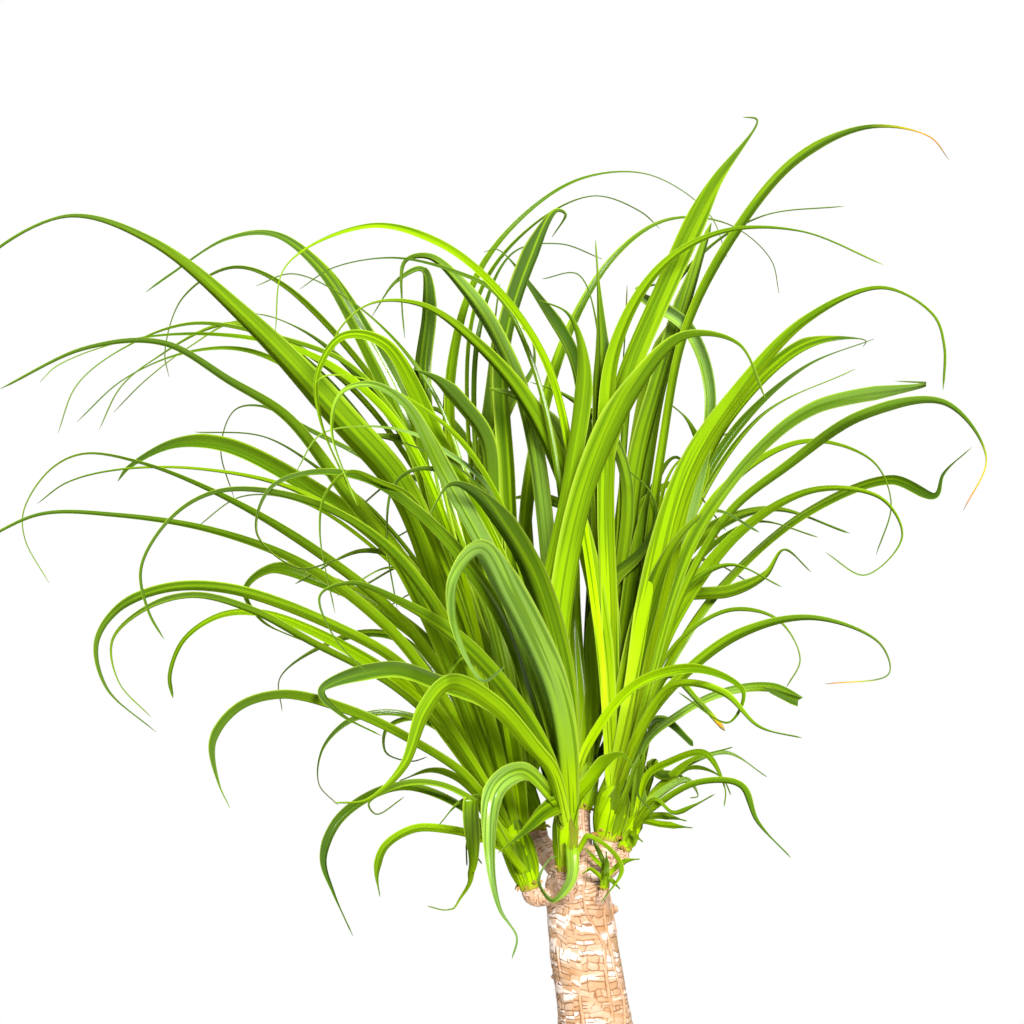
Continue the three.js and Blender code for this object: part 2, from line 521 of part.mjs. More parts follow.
// Midline of a filler leaf: it leaves the heart at an azimuth, rises, and droops over at its end.
function fillerLine(head, order, random) {
  const { count, from, to, reach, rise } = head.filler;
  const turn = THREE.MathUtils.degToRad(lerp(from, to, (order + 0.2 + 0.6 * random()) / count));
  const root = fromPhoto(...head.base).lerp(fromPhoto(...head.top), 0.3 + 0.5 * random());
  const away = reach * (0.65 + 0.5 * random());
  const height = rise * (0.55 + 0.6 * random());
  const droop = 0.9 + 0.5 * random();
  return [0, 0.2, 0.4, 0.6, 0.8, 1].map((run) => {
    const out = away * (0.35 * run + 0.65 * run * run);
    const up = height * (2.1 * run - droop * run ** 3);
    return root.clone().add(new THREE.Vector3(Math.cos(turn) * out, Math.sin(turn) * out, up));
  });
}

// Stations on a leaf's midline, closer together where it bends.
function stationsOn(line) {
  const curve = new THREE.CatmullRomCurve3(line, false, 'centripetal');
  const fine = curve.getPoints(FINE_POINTS);
  const weight = [0];
  let bend = 0;
  for (let at = 1; at < fine.length; at++) {
    const step = fine[at].clone().sub(fine[at - 1]);
    const turn = at + 1 < fine.length ? step.angleTo(fine[at + 1].clone().sub(fine[at])) : 0;
    bend += turn;
    weight.push(weight[at - 1] + turn + step.length() * LENGTH_WEIGHT);
  }
  const most = curve.getLength() > SHORT_LEAF ? MOST_STATIONS : MOST_ON_SHORT;
  const count = clamp(Math.round(STATIONS_AT_LEAST + bend * STATIONS_PER_BEND), FEWEST_STATIONS, most);
  const stations = [];
  for (let station = 0, at = 0; station <= count; station++) {
    const target = weight[weight.length - 1] * station / count;
    while (at < fine.length - 2 && weight[at + 1] < target) at++;
    const share = clamp((target - weight[at]) / (weight[at + 1] - weight[at]), 0, 1);
    stations.push(fine[at].clone().lerp(fine[at + 1], share));
  }
  return stations;
}

// A leaf: its head, widest part and turn about its midline, the stations that it passes, and its outline.
function makeLeaf(headName, wide, turn, line, form = []) {
  const stations = stationsOn(line);
  const runs = [0];
  for (let at = 1; at < stations.length; at++) {
    runs.push(runs[at - 1] + stations[at].distanceTo(stations[at - 1]));
  }
  const length = runs[runs.length - 1];
  const widest = Math.min(wide / Math.cos(turn), WIDEST);
  const [blunt = 0, fade = wide < SLIM ? SLIM_FADE : FADE, openBy = OPEN_BY] = form;
  const halves = runs.map((run) => widest / 2 * leafOutline(run / length, blunt, fade, openBy));
  return { headName, turn, stations, runs, halves, sides: [] };
}

// Half width of a leaf along it, as a share of its widest: sheath, widest part, then a long taper to a
// whip.
function leafOutline(run, blunt, fade, openBy) {
  const start = OPEN_START - OPEN_FALL * openBy;
  const opening = start + (1 - start) * Math.min(1, run / openBy);
  const taper = blunt + (1 - blunt) * (1 - Math.max(0, (run - fade) / (1 - fade))) ** TAPER;
  return Math.max(opening * taper, 0.1);
}

// Turn of a leaf about its midline, to either side, so that it shows some of its face from all round.
function leafTurn(random) {
  const turn = 0.3 + 0.55 * random();
  return random() < 0.5 ? -turn : turn;
}

function makeAllLeaves() {
  const leaves = [];
  for (const [headName, head] of Object.entries(HEADS)) {
    const random = randomFrom(HEAD_SEEDS[headName]);
    TRACED_LEAVES[headName].forEach(([wide, reach, route, ...form], order) => {
      leaves.push(makeLeaf(headName, wide, leafTurn(random), tracedLine(head, route, reach, order), form));
    });
    for (let order = 0; order < head.filler.count; order++) {
      const line = fillerLine(head, order, random);
      leaves.push(makeLeaf(headName, 9 + 7 * random(), leafTurn(random), line));
    }
  }
  return leaves;
}

// The direction across the leaf at each station. It lies across the view, turned by the leaf's own turn,
// and gives way where the midline bends, because a strap bends over its flat and hardly on edge.
function setSides(leaf) {
  const { stations, halves } = leaf;
  const last = stations.length - 1;
  const tangents = stations.map((point, at) => {
    return stations[Math.min(at + 1, last)].clone().sub(stations[Math.max(at - 1, 0)]).normalize();
  });
  let sides = tangents.map((tangent) => {
    const flat = tangent.clone().cross(VIEW);
    if (flat.length() < 0.2) flat.x += 0.2;
    flat.normalize();
    const over = tangent.clone().cross(flat);
    return flat.multiplyScalar(Math.cos(leaf.turn)).addScaledVector(over, Math.sin(leaf.turn));
  });
  const bends = stations.map((point, at) => {
    if (at === 0 || at === last) return new THREE.Vector3();
    const before = point.clone().sub(stations[at - 1]);
    const after = stations[at + 1].clone().sub(point);
    const reach = (before.length() + after.length()) / 2;
    return after.normalize().sub(before.normalize()).divideScalar(reach);
  });
  for (let pass = 0; pass < 3; pass++) {
    sides = sides.map((side, at) => {
      const eased = side.clone();
      if (at > 0) eased.addScaledVector(sides[at - 1], 0.5 * Math.sign(sides[at - 1].dot(side) || 1));
      if (at < last) eased.addScaledVector(sides[at + 1], 0.5 * Math.sign(sides[at + 1].dot(side) || 1));
      const bend = bends[at].length();
      if (bend > 1e-6) {
        const way = bends[at].clone().divideScalar(bend);
        const edgewise = eased.dot(way);
        const allowed = clamp(0.35 / (bend * Math.max(halves[at], 1)), 0, 1) * eased.length();
        const limited = Math.sign(edgewise) * allowed;
        if (Math.abs(edgewise) > allowed) eased.addScaledVector(way, limited - edgewise);
      }
      return eased.addScaledVector(tangents[at], -eased.dot(tangents[at])).normalize();
    });
    for (let at = 1; at <= last; at++) if (sides[at].dot(sides[at - 1]) < 0) sides[at].negate();
  }
  // The channel opens on the upper face, which is on the outside of the bend.
  let facing = 0;
  for (let at = 1; at < last; at++) facing -= sides[at].clone().cross(tangents[at]).dot(bends[at]);
  if (facing < 0) sides.forEach((side) => side.negate());
  leaf.sides = sides;
  leaf.normals = sides.map((side, at) => side.clone().cross(tangents[at]));
}

// Nearest places of two straight pieces, as shares along each.
function nearestShares(startA, alongA, startB, alongB) {
  const between = startA.clone().sub(startB);
  const a = alongA.lengthSq();
  const b = alongA.dot(alongB);
  const c = alongB.lengthSq();
  const d = alongA.dot(between);
  const e = alongB.dot(between);
  const spread = a * c - b * b;
  let onA = spread > 1e-9 ? clamp((b * e - c * d) / spread, 0, 1) : 0.5;
  const onB = clamp((b * onA + e) / c, 0, 1);
  onA = clamp((b * onB - d) / a, 0, 1);
  return [onA, onB];
}

// Half the room that a leaf takes up in a direction, at a station.
function roomTowards(leaf, at, way) {
  const half = leaf.halves[at];
  const thick = (RIB_THICK + CHANNEL * 2 * half) / 2;
  return Math.hypot(leaf.sides[at].dot(way) * half, leaf.normals[at].dot(way) * thick);
}

// Straight pieces of every leaf, and of the hearts and the stem, which stay where they are.
function listPieces(leaves) {
  const pieces = [];
  leaves.forEach((leaf, owner) => {
    for (let at = 0; at + 1 < leaf.stations.length; at++) {
      const [start, end] = leaf.stations.slice(at, at + 2);
      pieces.push({ owner, leaf, at, headName: leaf.headName, start, end });
    }
  });
  for (const [headName, head] of Object.entries(HEADS)) {
    const [stub, base, top] = [head.stub, head.base, head.top].map((place) => fromPhoto(...place));
    pieces.push({ owner: -1, headName, start: base, end: top, radius: head.swell });
    pieces.push({ owner: -1, headName: 'trunk', start: stub, end: base, radius: head.wood });
  }
  pieces.push({ owner: -1, headName: 'trunk', start: stemAt(400), end: stemAt(536), radius: 25 });
  return pieces;
}

function nearPairs(pieces) {
  const middles = pieces.map((piece) => piece.start.clone().add(piece.end).multiplyScalar(0.5));
  const halves = pieces.map((piece) => {
    return piece.start.distanceTo(piece.end) / 2 + (piece.radius ?? piece.leaf.halves[piece.at]);
  });
  const pairs = [];
  for (let one = 0; one < pieces.length; one++) {
    for (let two = one + 1; two < pieces.length; two++) {
      const [first, second] = [pieces[one], pieces[two]];
      if (first.owner === second.owner || (first.radius && second.radius)) continue;
      const sameHead = first.headName === second.headName;
      if (sameHead && (first.radius || second.radius)) continue;
      const runs = sameHead ? [first, second].map((piece) => piece.leaf.runs[piece.at]) : [ROOT_ROOM];
      if (Math.min(...runs) < ROOT_ROOM) continue;
      const apart = middles[one].distanceTo(middles[two]);
      if (apart < halves[one] + halves[two] + SEARCH_ROOM) pairs.push([first, second]);
    }
  }
  return pairs;
}

// Leaves that would meet are bent apart, mostly in depth, a little at a time.
function bendClear(leaves) {
  const pieces = listPieces(leaves);
  let pairs = [];
  for (let round = 0; round < ROUNDS; round++) {
    leaves.forEach(setSides);
    if (round % ROUNDS_BETWEEN_SEARCHES === 0) pairs = nearPairs(pieces);
    const moves = leaves.map((leaf) => leaf.stations.map(() => ({ by: new THREE.Vector3(), count: 0 })));
    for (const [first, second] of pairs) {
      const alongA = first.end.clone().sub(first.start);
      const alongB = second.end.clone().sub(second.start);
      const [onA, onB] = nearestShares(first.start, alongA, second.start, alongB);
      const way = second.start.clone().addScaledVector(alongB, onB)
        .sub(first.start).addScaledVector(alongA, -onA);
      const distance = way.length();
      if (distance < 1e-6) way.set(0, 1, 0);
      else way.divideScalar(distance);
      const roomA = first.radius ?? roomTowards(first.leaf, first.at + Math.round(onA), way);
      const roomB = second.radius ?? roomTowards(second.leaf, second.at + Math.round(onB), way);
      const short = roomA + roomB + CLEARANCE - distance;
      if (short <= 0) continue;
      const push = new THREE.Vector3(way.x * SIDEWAYS_PUSH, way.y, way.z * SIDEWAYS_PUSH);
      if (Math.abs(push.y) < LEAST_DEPTH_PUSH) push.y = push.y < 0 ? -LEAST_DEPTH_PUSH : LEAST_DEPTH_PUSH;
      push.normalize();
      const share = first.radius || second.radius ? 0.9 : 0.5;
      for (const [piece, on, sign] of [[first, onA, -1], [second, onB, 1]]) {
        if (piece.radius) continue;
        for (const [at, part] of [[piece.at, 1 - on], [piece.at + 1, on]]) {
          moves[piece.owner][at].by.addScaledVector(push, sign * short * share * Math.max(part, 0.3));
          moves[piece.owner][at].count += 1;
        }
      }
    }
    leaves.forEach((leaf, owner) => easeBy(leaf, moves[owner]));
  }
  leaves.forEach(setSides);
}

// A leaf gives way to its pushes smoothly: each station shares its neighbours' pushes, and the root stays.
function easeBy(leaf, moves) {
  const pushes = moves.map((move) => {
    return move.by.divideScalar(Math.max(1, move.count * 0.6)).clampLength(0, LONGEST_PUSH);
  });
  leaf.stations.forEach((point, at) => {
    const freedom = THREE.MathUtils.smoothstep(leaf.runs[at], ...STIFF_ROOT);
    point.addScaledVector(pushes[at], 0.6 * freedom);
    point.addScaledVector(pushes[Math.max(at - 1, 0)], 0.2 * freedom);
    point.addScaledVector(pushes[Math.min(at + 1, pushes.length - 1)], 0.2 * freedom);
  });
}

// A blade: at each station a shallow channel section with left edge, sunk middle, right edge and keel.
function makeBlade(leaf) {
  const sections = leaf.stations.map((point, at) => {
    const half = leaf.halves[at];
    const side = leaf.sides[at];
    const normal = leaf.normals[at];
    const lift = CHANNEL * 2 * half;
    return [
      point.clone().addScaledVector(side, half).addScaledVector(normal, lift / 2),
      point.clone().addScaledVector(normal, RIB_THICK / 2 - lift / 2),
      point.clone().addScaledVector(side, -half).addScaledVector(normal, lift / 2),
      point.clone().addScaledVector(normal, -RIB_THICK / 2 - lift / 2),
    ];
  });
  return loft(sections.slice(0, -1), leaf.stations[leaf.stations.length - 1]);
}

// The one body of a joined solid: hollows that the joining sealed are filled, and loose scraps dropped.
function largestBody(solid) {
  return solid.decompose().reduce((largest, body) => (body.volume() > largest.volume() ? body : largest));
}

function toMesh(name, solid, [colour, roughness]) {
  const { numProp, vertProperties, triVerts } = solid.getMesh();
  const positions = new Float32Array(vertProperties.length / numProp * 3);
  for (let at = 0; at < positions.length; at++) {
    positions[at] = vertProperties[Math.floor(at / 3) * numProp + at % 3];
  }
  const geometry = new THREE.BufferGeometry();
  geometry.setAttribute('position', new THREE.BufferAttribute(positions, 3));
  geometry.setIndex(new THREE.BufferAttribute(new Uint32Array(triVerts), 1));
  geometry.computeVertexNormals();
  const finish = new THREE.MeshStandardMaterial({ color: colour, roughness, metalness: 0 });
  const mesh = new THREE.Mesh(geometry, finish);
  mesh.name = name;
  return mesh;
}

const leaves = makeAllLeaves();
bendClear(leaves);

const palm = new THREE.Group();
palm.name = 'potted_ponytail_palm';
palm.add(toMesh('pot', makePot(), COLOURS.pot));
palm.add(toMesh('soil', makeSoil(), COLOURS.soil));
palm.add(toMesh('trunk', makeTrunk(), COLOURS.trunk));
for (const [headName, head] of Object.entries(HEADS)) {
  const crown = leaves.filter((leaf) => leaf.headName === headName)
    .reduce((grown, leaf) => grown.add(makeBlade(leaf)), makeHeart(head));
  palm.add(toMesh(headName, largestBody(crown), COLOURS.leaf));
}

export default palm;
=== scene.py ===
# %% [markdown]
# # A potted ponytail palm
# The plant is a short woody stem with a swollen foot that carries seven heads of long strap leaves, and it
# stands in a plain round pot. The solids that were packed give every main form and its place. They are
# loaded first and are never moved. Each later cell makes a finer piece over one of them, by the same rules
# that shaped the solid, and then gives it a finish.

# %% Load the solids
import math

import bpy
import numpy as np
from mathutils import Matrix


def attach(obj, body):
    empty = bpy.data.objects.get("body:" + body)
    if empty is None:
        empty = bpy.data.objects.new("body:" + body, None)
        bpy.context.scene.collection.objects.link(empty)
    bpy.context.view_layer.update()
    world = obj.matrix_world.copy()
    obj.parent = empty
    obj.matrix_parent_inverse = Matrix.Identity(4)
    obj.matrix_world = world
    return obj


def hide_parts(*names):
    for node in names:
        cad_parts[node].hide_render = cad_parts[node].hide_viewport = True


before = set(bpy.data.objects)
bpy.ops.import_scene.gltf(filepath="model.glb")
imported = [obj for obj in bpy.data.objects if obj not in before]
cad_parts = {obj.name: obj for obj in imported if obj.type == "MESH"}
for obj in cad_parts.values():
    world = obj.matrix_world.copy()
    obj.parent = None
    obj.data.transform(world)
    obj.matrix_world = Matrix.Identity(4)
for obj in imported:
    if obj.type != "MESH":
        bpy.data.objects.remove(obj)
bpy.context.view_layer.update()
print("solids:", ", ".join(sorted(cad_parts)))

# %% [markdown]
# ## Camera
# The photograph was taken level with the leaves, from the front, and its lower edge cuts the stem. A camera
# can be fitted by eye, or set from the same numbers that placed the solids. Here one pixel is a known real
# size at the stem, so the distance and the lens follow by plain proportion and nothing has to be fitted.

# %% Camera
MM = 0.001
PIXEL = 0.7
FRAME_PIXELS = 1024
FRAME_MIDDLE = 512
MIDDLE_X = -75.6
MIDDLE_Z = 788.4
VIEW_DISTANCE = 3000
SENSOR_WIDTH = 36

bpy.ops.object.camera_add(
    location=(MIDDLE_X * MM, -VIEW_DISTANCE * MM, MIDDLE_Z * MM), rotation=(math.pi / 2, 0, 0)
)
camera = bpy.context.object
camera.name = "camera"
camera.data.sensor_width = SENSOR_WIDTH
camera.data.lens = SENSOR_WIDTH * VIEW_DISTANCE / (PIXEL * FRAME_PIXELS)
bpy.context.scene.camera = camera
print(f"camera {VIEW_DISTANCE / 1000:.1f} m in front of the stem, lens {camera.data.lens:.0f} mm")

# %% [markdown]
# ## Light
# The plant was photographed in front of a pure white backdrop, under broad lamps above and in front of it.
# A white world as bright as the backdrop would also light the plant evenly from every side, and the dark
# gaps between the leaves would be lost. So the camera sees a full white world, the plant is lit by a dimmer
# one, and three broad panels give the rest.

# %% World, panels and floor
BACKDROP_STRENGTH = 1.0
ROOM_STRENGTH = 0.05
FLOOR_RADIUS, FLOOR_SIDES = 1.6, 128
LIGHT_PANELS = {
    "panel_above": {"place": (-0.8, -0.9, 3.2), "turn": (20, 0, -30), "size": 1.0, "power": 240},
    "panel_front": {"place": (0.7, -3.2, 2.0), "turn": (68, 0, 12), "size": 0.9, "power": 440},
    "panel_behind": {"place": (-1.6, 2.6, 2.2), "turn": (-62, 0, 32), "size": 1.4, "power": 130},
}

bpy.context.scene.view_settings.view_transform = "Standard"
world = bpy.data.worlds.new("white_room")
world.use_nodes = True
room = world.node_tree.nodes["Background"]
room.inputs["Color"].default_value = (1, 1, 1, 1)
rays = world.node_tree.nodes.new("ShaderNodeLightPath")
strength = world.node_tree.nodes.new("ShaderNodeMath")
strength.operation = "MULTIPLY_ADD"
strength.inputs[1].default_value = BACKDROP_STRENGTH - ROOM_STRENGTH
strength.inputs[2].default_value = ROOM_STRENGTH
world.node_tree.links.new(rays.outputs["Is Camera Ray"], strength.inputs[0])
world.node_tree.links.new(strength.outputs[0], room.inputs["Strength"])
bpy.context.scene.world = world

for name, panel in LIGHT_PANELS.items():
    bpy.ops.object.light_add(
        type="AREA", location=panel["place"], rotation=[math.radians(angle) for angle in panel["turn"]]
    )
    light = bpy.context.object
    light.name = name
    light.data.size = panel["size"]
    light.data.energy = panel["power"]

bpy.ops.mesh.primitive_circle_add(
    vertices=FLOOR_SIDES, radius=FLOOR_RADIUS, fill_type="NGON", location=(0, 0, -MM)
)
floor = bpy.context.object
floor.name = "studio_floor"
print("light:", len(LIGHT_PANELS), "panels in a white room")

# %% [markdown]
# ## A kit for finishes
# Every finish below is worked out from a few nodes: noise, ramps, and sums. Node trees can be built by
# adding each node and link by hand, which takes many lines that say little. A small class wraps a socket
# that carries one number, so that plain sums such as 1 - mask write the Math nodes, and one method adds any
# other node.

# %% Finish kit
class Number:
    """A socket that carries one number. Sums on it add Math nodes."""

    def __init__(self, finish, socket):
        self.finish = finish
        self.socket = socket

    def math(self, operation, *values, clamp=False):
        settings = {"operation": operation, "use_clamp": clamp}
        return self.finish.number("ShaderNodeMath", settings, dict(enumerate(values)))

    def __add__(self, other):
        return self.math("ADD", self, other)

    def __sub__(self, other):
        return self.math("SUBTRACT", self, other)

    def __rsub__(self, other):
        return self.math("SUBTRACT", other, self)

    def __mul__(self, other):
        return self.math("MULTIPLY", self, other)

    __radd__ = __add__
    __rmul__ = __mul__

    def between(self, low, high):
        """0 at low and below, 1 at high and above."""
        return self.math("MULTIPLY", self - low, 1 / (high - low), clamp=True)


class Finish:
    """A material, and the nodes that lead to its Principled shader."""

    def __init__(self, name, **plain):
        self.material = bpy.data.materials.new(name)
        self.material.use_nodes = True
        self.tree = self.material.node_tree
        self.shader = self.tree.nodes["Principled BSDF"]
        self.coordinates = self.node("ShaderNodeTexCoord").outputs["Object"]
        self.paint(**plain)

    def node(self, kind, settings=None, sockets=None):
        made = self.tree.nodes.new(kind)
        for setting, value in (settings or {}).items():
            if setting == "stops":
                self.set_stops(made.color_ramp, value)
            else:
                setattr(made, setting, value)
        for socket, value in (sockets or {}).items():
            self.feed(made.inputs[socket], value)
        return made

    def feed(self, socket, value):
        if isinstance(value, Number):
            value = value.socket
        if isinstance(value, bpy.types.NodeSocket):
            self.tree.links.new(value, socket)
        else:
            socket.default_value = value

    def paint(self, **values):
        """Feeds sockets of the shader by name, with _ for a space."""
        for socket, value in values.items():
            self.feed(self.shader.inputs[socket.replace("_", " ")], value)

    def set_stops(self, ramp, stops):
        while len(ramp.elements) < len(stops):
            ramp.elements.new(0.5)
        for element, (place, colour) in zip(ramp.elements, stops):
            element.position = place
            element.color = (*colour, 1)

    def number(self, kind, settings=None, sockets=None, output=0):
        return Number(self, self.node(kind, settings, sockets).outputs[output])

    def attribute(self, name):
        return self.number("ShaderNodeAttribute", {"attribute_name": name}, output="Fac")

    def noise(self, vector, scale, detail=3.0, roughness=0.5):
        sockets = {"Vector": vector, "Scale": scale, "Detail": detail, "Roughness": roughness}
        return self.number("ShaderNodeTexNoise", None, sockets)

    def ramp(self, value, stops):
        return self.node("ShaderNodeValToRGB", {"stops": stops}, {"Fac": value}).outputs["Color"]

    def blend(self, share, first, second):
        sockets = {0: share, 6: first, 7: second}
        return self.node("ShaderNodeMix", {"data_type": "RGBA"}, sockets).outputs[2]

    def layers(self, surface, *coats):
        """Colours laid over a surface one after another, each given with its share."""
        for share, colour in coats:
            surface = self.blend(share, surface, rgb(*colour))
        return surface

    def bump(self, height, strength, distance):
        sockets = {"Height": height, "Strength": strength, "Distance": distance}
        self.paint(Normal=self.node("ShaderNodeBump", None, sockets).outputs["Normal"])


def rgb(red, green, blue):
    """A colour for a socket."""
    return (red, green, blue, 1)


floor_finish = Finish("matt_white_floor", Base_Color=rgb(0.55, 0.55, 0.55), Roughness=0.7)
floor.data.materials.append(floor_finish.material)
print("finish kit ready, floor painted")

# %% [markdown]
# ## Mesh helpers
# Leaves, stem, forks and hearts are all sheets that are bent to a shape, so the same few steps serve them
# all: read the points of a mesh, work out where each one goes, write them back, and store on each point
# what the finish needs to know about it. A tube is a flat grid wrapped round until its two long edges meet
# and are merged.

# %% Mesh helpers
# Faces that meet at less than this angle look like one smooth surface, in degrees.
TUBE_SMOOTHING = 60


def deselect_all():
    bpy.ops.object.select_all(action="DESELECT")


def read_points(piece):
    points = np.empty(len(piece.data.vertices) * 3, np.float32)
    piece.data.vertices.foreach_get("co", points)
    return points.reshape(-1, 3).astype(float)


def write_points(piece, points):
    """Points are in millimetres, and the mesh is in metres."""
    piece.data.vertices.foreach_set("co", (points * MM).astype(np.float32).ravel())
    piece.data.update()


def mark_points(piece, marks):
    """Stores one number a point, under each name, for the finish to read."""
    for name, values in marks.items():
        attribute = piece.data.attributes.new(name, "FLOAT", "POINT")
        attribute.data.foreach_set("value", np.asarray(values, np.float32))


def wrap_tube(name, columns, rows, place):
    """A grid wrapped into a closed tube. place gives points and marks for turns and runs from 0 to 1."""
    deselect_all()
    bpy.ops.mesh.primitive_grid_add(x_subdivisions=columns, y_subdivisions=rows, size=2)
    tube = bpy.context.object
    tube.name = name
    flat = read_points(tube)
    points, marks = place((flat[:, 0] + 1) / 2, (flat[:, 1] + 1) / 2)
    write_points(tube, points)
    mark_points(tube, marks)
    bpy.ops.object.mode_set(mode="EDIT")
    bpy.ops.mesh.select_mode(type="EDGE")
    bpy.ops.mesh.select_all(action="SELECT")
    bpy.ops.mesh.remove_doubles(threshold=1e-6)
    bpy.ops.mesh.select_all(action="DESELECT")
    bpy.ops.mesh.select_non_manifold()
    bpy.ops.mesh.fill_holes(sides=0)
    bpy.ops.mesh.select_all(action="SELECT")
    bpy.ops.mesh.normals_make_consistent(inside=False)
    bpy.ops.object.mode_set(mode="OBJECT")
    bpy.ops.object.shade_smooth_by_angle(angle=math.radians(TUBE_SMOOTHING))
    return tube


def smooth_step(part):
    """Eases numbers from 0 to 1 in and out."""
    return part * part * (3 - 2 * part)


def join(name, parts):
    """Several objects become one piece."""
    deselect_all()
    for part in parts:
        part.select_set(True)
    bpy.context.view_layer.objects.active = parts[0]
    if len(parts) > 1:
        bpy.ops.object.join()
    parts[0].name = name
    parts[0].data.name = name
    return parts[0]


def mount(piece, node, finish):
    """The piece stands for a solid, rides with the plant, and takes its finish."""
    piece.data.materials.clear()
    piece.data.materials.append(finish.material)
    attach(piece, "root")
    if node:
        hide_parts(node)
    faces = sum(len(face.vertices) - 2 for face in piece.data.polygons)
    print(f"{piece.name}: {faces} triangles")


def normalised(vectors):
    """Each vector at length one."""
    lengths = np.linalg.norm(vectors, axis=-1, keepdims=True)
    return vectors / np.maximum(lengths, 1e-9)


def from_photo(px, py, depth):
    """A point of the photograph, at a depth behind the stem, as a point of the plant."""
    scale = PIXEL * (VIEW_DISTANCE + depth) / VIEW_DISTANCE
    return np.array([MIDDLE_X + (px - FRAME_MIDDLE) * scale, depth, MIDDLE_Z + (FRAME_MIDDLE - py) * scale])


print("mesh helpers ready")

# %% [markdown]
# ## Heads and leaves
# A ponytail palm grows its leaves from the tip of each branch: their sheaths wrap one another into a bulb,
# the heart, and the blades rise from it and arch over. Scattering random leaves would give a plant of the
# kind, but not this one, so nearly every leaf follows a midline that was traced over the photograph. Where
# the photograph shows nothing, at the back, filler leaves are drawn by a seeded rule, so that each run
# gives the same plant.

# %% Heads
# base and top are the ends of the heart: pixels, and depth behind the stem in mm. stub is where the fork
# starts. filler is count, first and last azimuth in degrees, reach and rise in mm.
HEADS = {
    "left_crown": {
        "base": (531, 888, -10), "top": (509, 818, -15), "radius": 7.5, "swell": 10,
        "stub": (566, 891, -3), "wood": 6.5, "filler": (4, 105, 250, 170, 190), "seed": 11,
    },
    "front_crown": {
        "base": (566, 870, -27), "top": (567, 800, -35), "radius": 6.5, "swell": 8,
        "stub": (572, 902, -8), "wood": 9, "filler": (0, 0, 0, 0, 0), "seed": 23,
    },
    "right_crown": {
        "base": (606, 839, 4), "top": (617, 786, 2), "radius": 8.5, "swell": 11,
        "stub": (590, 884, 2), "wood": 10.5, "filler": (4, -70, 75, 170, 190), "seed": 37,
    },
    "back_left_crown": {
        "base": (536, 834, 30), "top": (518, 778, 46), "radius": 8, "swell": 10,
        "stub": (572, 880, 8), "wood": 10, "filler": (7, 85, 175, 200, 230), "seed": 41,
    },
    "back_right_crown": {
        "base": (581, 812, 30), "top": (588, 760, 46), "radius": 6.5, "swell": 9.5,
        "stub": (584, 880, 8), "wood": 9, "filler": (7, 20, 100, 200, 230), "seed": 59,
    },
    "side_shoot": {
        "base": (623, 850, 10), "top": (638, 814, 13), "radius": 5, "swell": 6,
        "stub": (598, 876, 6), "wood": 8, "filler": (2, 20, 130, 60, 50), "seed": 67,
    },
    "basal_sprout": {
        "base": (604, 888, -24), "top": (606, 868, -29), "radius": 3, "swell": 3.4,
        "stub": (594, 904, -10), "wood": 5, "filler": (0, 0, 0, 0, 0), "seed": 71,
    },
}
print("heads:", ", ".join(HEADS))

